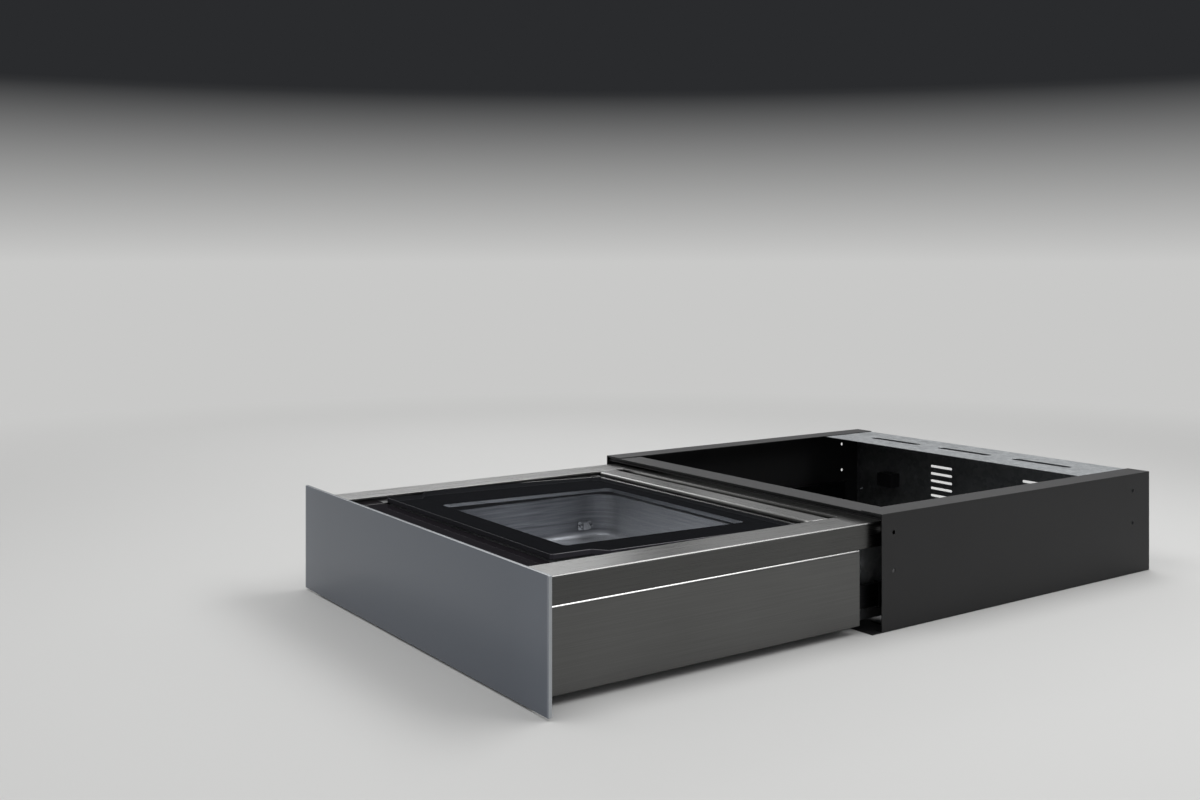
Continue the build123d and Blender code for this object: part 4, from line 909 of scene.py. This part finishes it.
def buildPowerBoard(s):
    low, high = s["board"]
    top = high[2]
    shapes = [(*block(low, high, 2), 0)]
    shapes += [(*turned([(3, 0), (3, low[2] - 11)], (x, y, 11), (0, 0, 1), 12), 1) for x, y in s["standOffs"]]
    shapes += [(*block(*settings[:3]), settings[3]) for settings in s["blocks"]]
    start, pitch, count = s["fins"]
    y0, y1, z0, z1 = s["finBox"]
    shapes.append((*block((start, y0 + 12, z0), (start + pitch * (count - 1) + 1, y0 + 15, z1), 0.4), 4))
    for x in (start + pitch * i for i in range(count)):
        shapes.append((*block((x, y0, z0), (x + 1, y1, z1), 0.3), 4))
    for x, y, r, height in s["capacitors"]:
        rows = [(r, 0), (r, 1.6), (r - 0.5, 2.2), (r, 2.8), (r, height - 0.6), (r - 0.6, height),
                (r - 1.2, height)]
        cap = [(r - 1.2, height), (r - 1.3, height + 0.15)]
        shapes.append((*turned(rows, (x, y, top), (0, 0, 1), 24), 2))
        shapes.append((*turned(cap, (x, y, top), (0, 0, 1), 24), 4))
    x, y, r, height = s["choke"]
    rows = [(r - 1, 0), (r, 1, 0.5), (r, height - 1, 0.5), (r - 1, height, 0.3), (2.6, height), (2.4, 2)]
    shapes.append((*turned(rows, (x, y, top), (0, 0, 1), 72, 18), 5))
    start, pitch, count = s["terminals"]
    for i in range(count):
        x = start + i * pitch
        shapes.append((*block((x, -241, top), (x + pitch - 0.4, -227, top + 10), 0.5), 3))
        shapes.append((*block((x, -227, top), (x + pitch - 0.4, -213, top + 17), 0.5), 3))
        screw = turned([(2, 0), (2, 0.4), (1.4, 0.6)], (x + pitch / 2 - 0.2, -220, top + 17), (0, 0, 1), 12)
        shapes.append((*screw, 1))
    finish = [laminate, brass, blackAbs, greyNylon, castAluminium, copperWire, glassCloth]
    shapedPiece("powerBoard", shapes, finish, "power_board")


buildPowerBoard(boardSettings)

# fan rotor: a hub with swept blades of curved section
rotorSettings = {"centre": (-190.0, 37.9, 62.0), "hub": 11.0, "depth": 13.2, "blades": 7, "reach": 24.8,
                 "chord": 7.4, "pitch": 38.0, "sweep": 16.0, "camber": 1.4, "thick": 0.7}


def buildRotor(s):
    # section(t) = (chord cos t, thick sin t + camber sin^2 t) turned by the pitch; the blade leans back
    # by the sweep from hub to tip
    centre = np.array(s["centre"])
    turn = np.linspace(0, 2 * np.pi, 20, endpoint=False)
    along = s["chord"] * np.cos(turn)
    lift = s["thick"] * np.sin(turn) + s["camber"] * (1 - np.cos(turn) ** 2)
    share = np.linspace(0, 1, 9)[:, None]
    radius = s["hub"] - 1 + (s["reach"] - s["hub"] + 1) * share
    pitch = np.radians(s["pitch"] + 14 * share)
    tangent = along * np.cos(pitch) - lift * np.sin(pitch)
    half = s["depth"] / 2
    axial = np.clip(along * np.sin(pitch) + lift * np.cos(pitch), -half, half)
    lean = np.radians(s["sweep"]) * share
    rows = [(2.2, -half), (s["hub"] - 0.8, -half), (s["hub"], -half + 0.8), (s["hub"], half - 0.8),
            (s["hub"] - 0.8, half), (4, half), (3.6, half - 1)]
    shapes = [turned(rows, centre, (0, 1, 0), 48)]
    faces = ringFaces(len(share), len(turn))
    last = (len(share) - 1) * len(turn)
    faces += [list(range(len(turn)))[::-1], list(range(last, last + len(turn)))]
    for blade in range(s["blades"]):
        angle = 2 * np.pi * blade / s["blades"] - lean + tangent / radius
        points = np.stack([radius * np.cos(angle), axial, radius * np.sin(angle)], axis=2)
        shapes.append((points.reshape(-1, 3) + centre, faces))
    shapedPiece("fanRotor", shapes, blackAbs, "fan_rotor")


buildRotor(rotorSettings)

# brass pins in the mains inlet
pinSettings = {"x": [-202, -195, -188], "z": 62, "half": (1.05, 2.05), "reach": (-540.2, -525)}


def buildInletPins(s):
    halfX, halfZ = s["half"]
    base, tip = s["reach"]
    pins = []
    for x in s["x"]:
        points, faces = block((x - halfX, s["z"] - halfZ, base), (x + halfX, s["z"] + halfZ, tip), 0.7)
        pins.append((points[:, [0, 2, 1]] * (1, -1, 1), faces))
    shapedPiece("inletPins", pins, brass, "mains_inlet", "hinge_pins")


buildInletPins(pinSettings)

# resistance wire along the sealing bar, held by a clamp at each end
wireSettings = {"half": 120.0, "y": (-367.4, -365.6), "z": (97.6, 98.2), "clampAt": 121.5, "clampHalf": 2.0,
                "clampY": (-369.5, -363.5), "clampLow": 97.2}


def buildSealWire(s):
    low, high = s["z"]
    front, back = s["clampY"]
    shapes = [block((-s["half"], s["y"][0], low), (s["half"], s["y"][1], high), 0.5)]
    for middle in (-s["clampAt"], s["clampAt"]):
        start, end = middle - s["clampHalf"], middle + s["clampHalf"]
        shapes.append(block((start, front, s["clampLow"]), (end, back, high), 0.6))
    shapedPiece("sealWire", shapes, groundSteel, "heating_band", "hinge_pins")


buildSealWire(wireSettings)
print("inner parts built")

# studio: pale floor, a backdrop that falls from pale to charcoal and turns pale again higher up, and five
# softboxes, the strongest behind the drawer
studioSettings = {
    "floorReach": 14000,  # mm from the origin to the floor's sides
    "floorLevel": -0.3,  # mm, just under the casing
    "floorColour": "#cfcfce",
    "floorFade": (900, 2600),  # mm from the origin over which the floor passes into the backdrop
    "horizonColour": "#c9c9c8",
    # degrees above the horizon and the backdrop's colour there
    "backdrop": [(0, "#c9c9c8"), (7.5, "#2a2b2d"), (24, "#2a2b2d"), (36, "#c9c9c9"), (90, "#ececec")],
    "ambient": 0.42,
    "lamps": [
        {"name": "softboxLeft", "place": (-1.95, 0.4, 1.1), "aim": (0, -0.2, 0.1), "size": (1.5, 0.6),
         "power": 7.5},
        {"name": "softboxFar", "place": (-1.2, 1.8, 1.1), "aim": (0, 0, 0.1), "size": (1.5, 0.6), "power": 3},
        {"name": "softboxBack", "place": (0.55, 0.75, 1.6), "aim": (0.2, -0.3, 0.1), "size": (2.2, 0.7),
         "power": 19},
        {"name": "softboxTop", "place": (-0.1, -0.9, 1.9), "aim": (0, -0.25, 0.1), "size": (1.0, 1.0),
         "power": 11},
        {"name": "softboxFront", "place": (1.7, -2.0, 1.4), "aim": (0, -0.3, 0.1), "size": (1.4, 1.4),
         "power": 4},
    ],
}


def seenRays(tree):
    # 1 for the rays that see the background: from the camera, mirrored or passed by glass
    rays = addNode(tree, "ShaderNodeLightPath")
    seen = addNode(tree, "ShaderNodeMath", {"operation": "ADD", "use_clamp": True}, {
        0: rays.outputs["Is Camera Ray"], 1: rays.outputs["Is Glossy Ray"]})
    return addNode(tree, "ShaderNodeMath", {"operation": "ADD", "use_clamp": True}, {
        0: seen.outputs[0], 1: rays.outputs["Is Transmission Ray"]}).outputs[0]


def buildFloor(s):
    reach = s["floorReach"]
    corners = [(x, y, s["floorLevel"]) for x, y in rectangle(-reach, reach, -reach, reach)]
    floor = bpy.data.objects.new("floor", newMesh("floor", corners, [(0, 1, 2, 3)]))
    bpy.context.scene.collection.objects.link(floor)
    material, tree = newMaterial("paleFloor")
    seen = seenRays(tree)
    near = addNode(tree, "ShaderNodeBsdfPrincipled", {}, {
        "Base Color": linearColour(s["floorColour"]), "Roughness": 0.9, "Specular IOR Level": 0.2,
    })
    far = addNode(tree, "ShaderNodeEmission", {}, {"Color": linearColour(s["horizonColour"])})
    away = addNode(tree, "ShaderNodeVectorMath", {"operation": "LENGTH"}, {0: objectPoint(tree, (1, 1, 1))})
    share = addNode(tree, "ShaderNodeMapRange", {"interpolation_type": "SMOOTHSTEP"}, {
        "Value": away.outputs["Value"], "From Min": s["floorFade"][0], "From Max": s["floorFade"][1],
    })
    share = addNode(tree, "ShaderNodeMath", {"operation": "MULTIPLY"}, {
        0: share.outputs["Result"], 1: seen})
    mix = addNode(tree, "ShaderNodeMixShader", {}, {
        0: share.outputs[0], 1: near.outputs[0], 2: far.outputs[0]})
    addNode(tree, "ShaderNodeOutputMaterial", {}, {"Surface": mix.outputs[0]})
    floor.data.materials.append(material)


def buildBackdrop(s):
    world = bpy.data.worlds.new("studio")
    bpy.context.scene.world = world
    world.use_nodes = True
    tree = world.node_tree
    tree.nodes.clear()
    seen = seenRays(tree)
    upward = addNode(tree, "ShaderNodeSeparateXYZ", {}, {
        "Vector": addNode(tree, "ShaderNodeTexCoord").outputs["Generated"]})
    backdrop = addNode(tree, "ShaderNodeValToRGB", {}, {"Fac": upward.outputs["Z"]}, [
        (math.sin(math.radians(angle)), linearColour(colour)) for angle, colour in s["backdrop"]
    ])
    dim = addNode(tree, "ShaderNodeBackground", {}, {"Color": (1, 1, 1, 1), "Strength": s["ambient"]})
    bright = addNode(tree, "ShaderNodeBackground", {}, {"Color": backdrop.outputs["Color"], "Strength": 1.0})
    mix = addNode(tree, "ShaderNodeMixShader", {}, {
        0: seen, 1: dim.outputs[0], 2: bright.outputs[0]})
    addNode(tree, "ShaderNodeOutputWorld", {}, {"Surface": mix.outputs[0]})


def buildLamps(s):
    for lamp in s["lamps"]:
        data = bpy.data.lights.new(lamp["name"], "AREA")
        data.shape = "RECTANGLE"
        data.size, data.size_y = lamp["size"]
        data.energy = lamp["power"]
        light = bpy.data.objects.new(lamp["name"], data)
        direction = np.array(lamp["aim"]) - lamp["place"]
        direction /= np.linalg.norm(direction)
        light.location = lamp["place"]
        light.rotation_euler = (math.acos(-direction[2]), 0, math.atan2(-direction[0], direction[1]))
        light.visible_camera = False
        bpy.context.scene.collection.objects.link(light)


buildFloor(studioSettings)
buildBackdrop(studioSettings)
buildLamps(studioSettings)
print("studio ready")
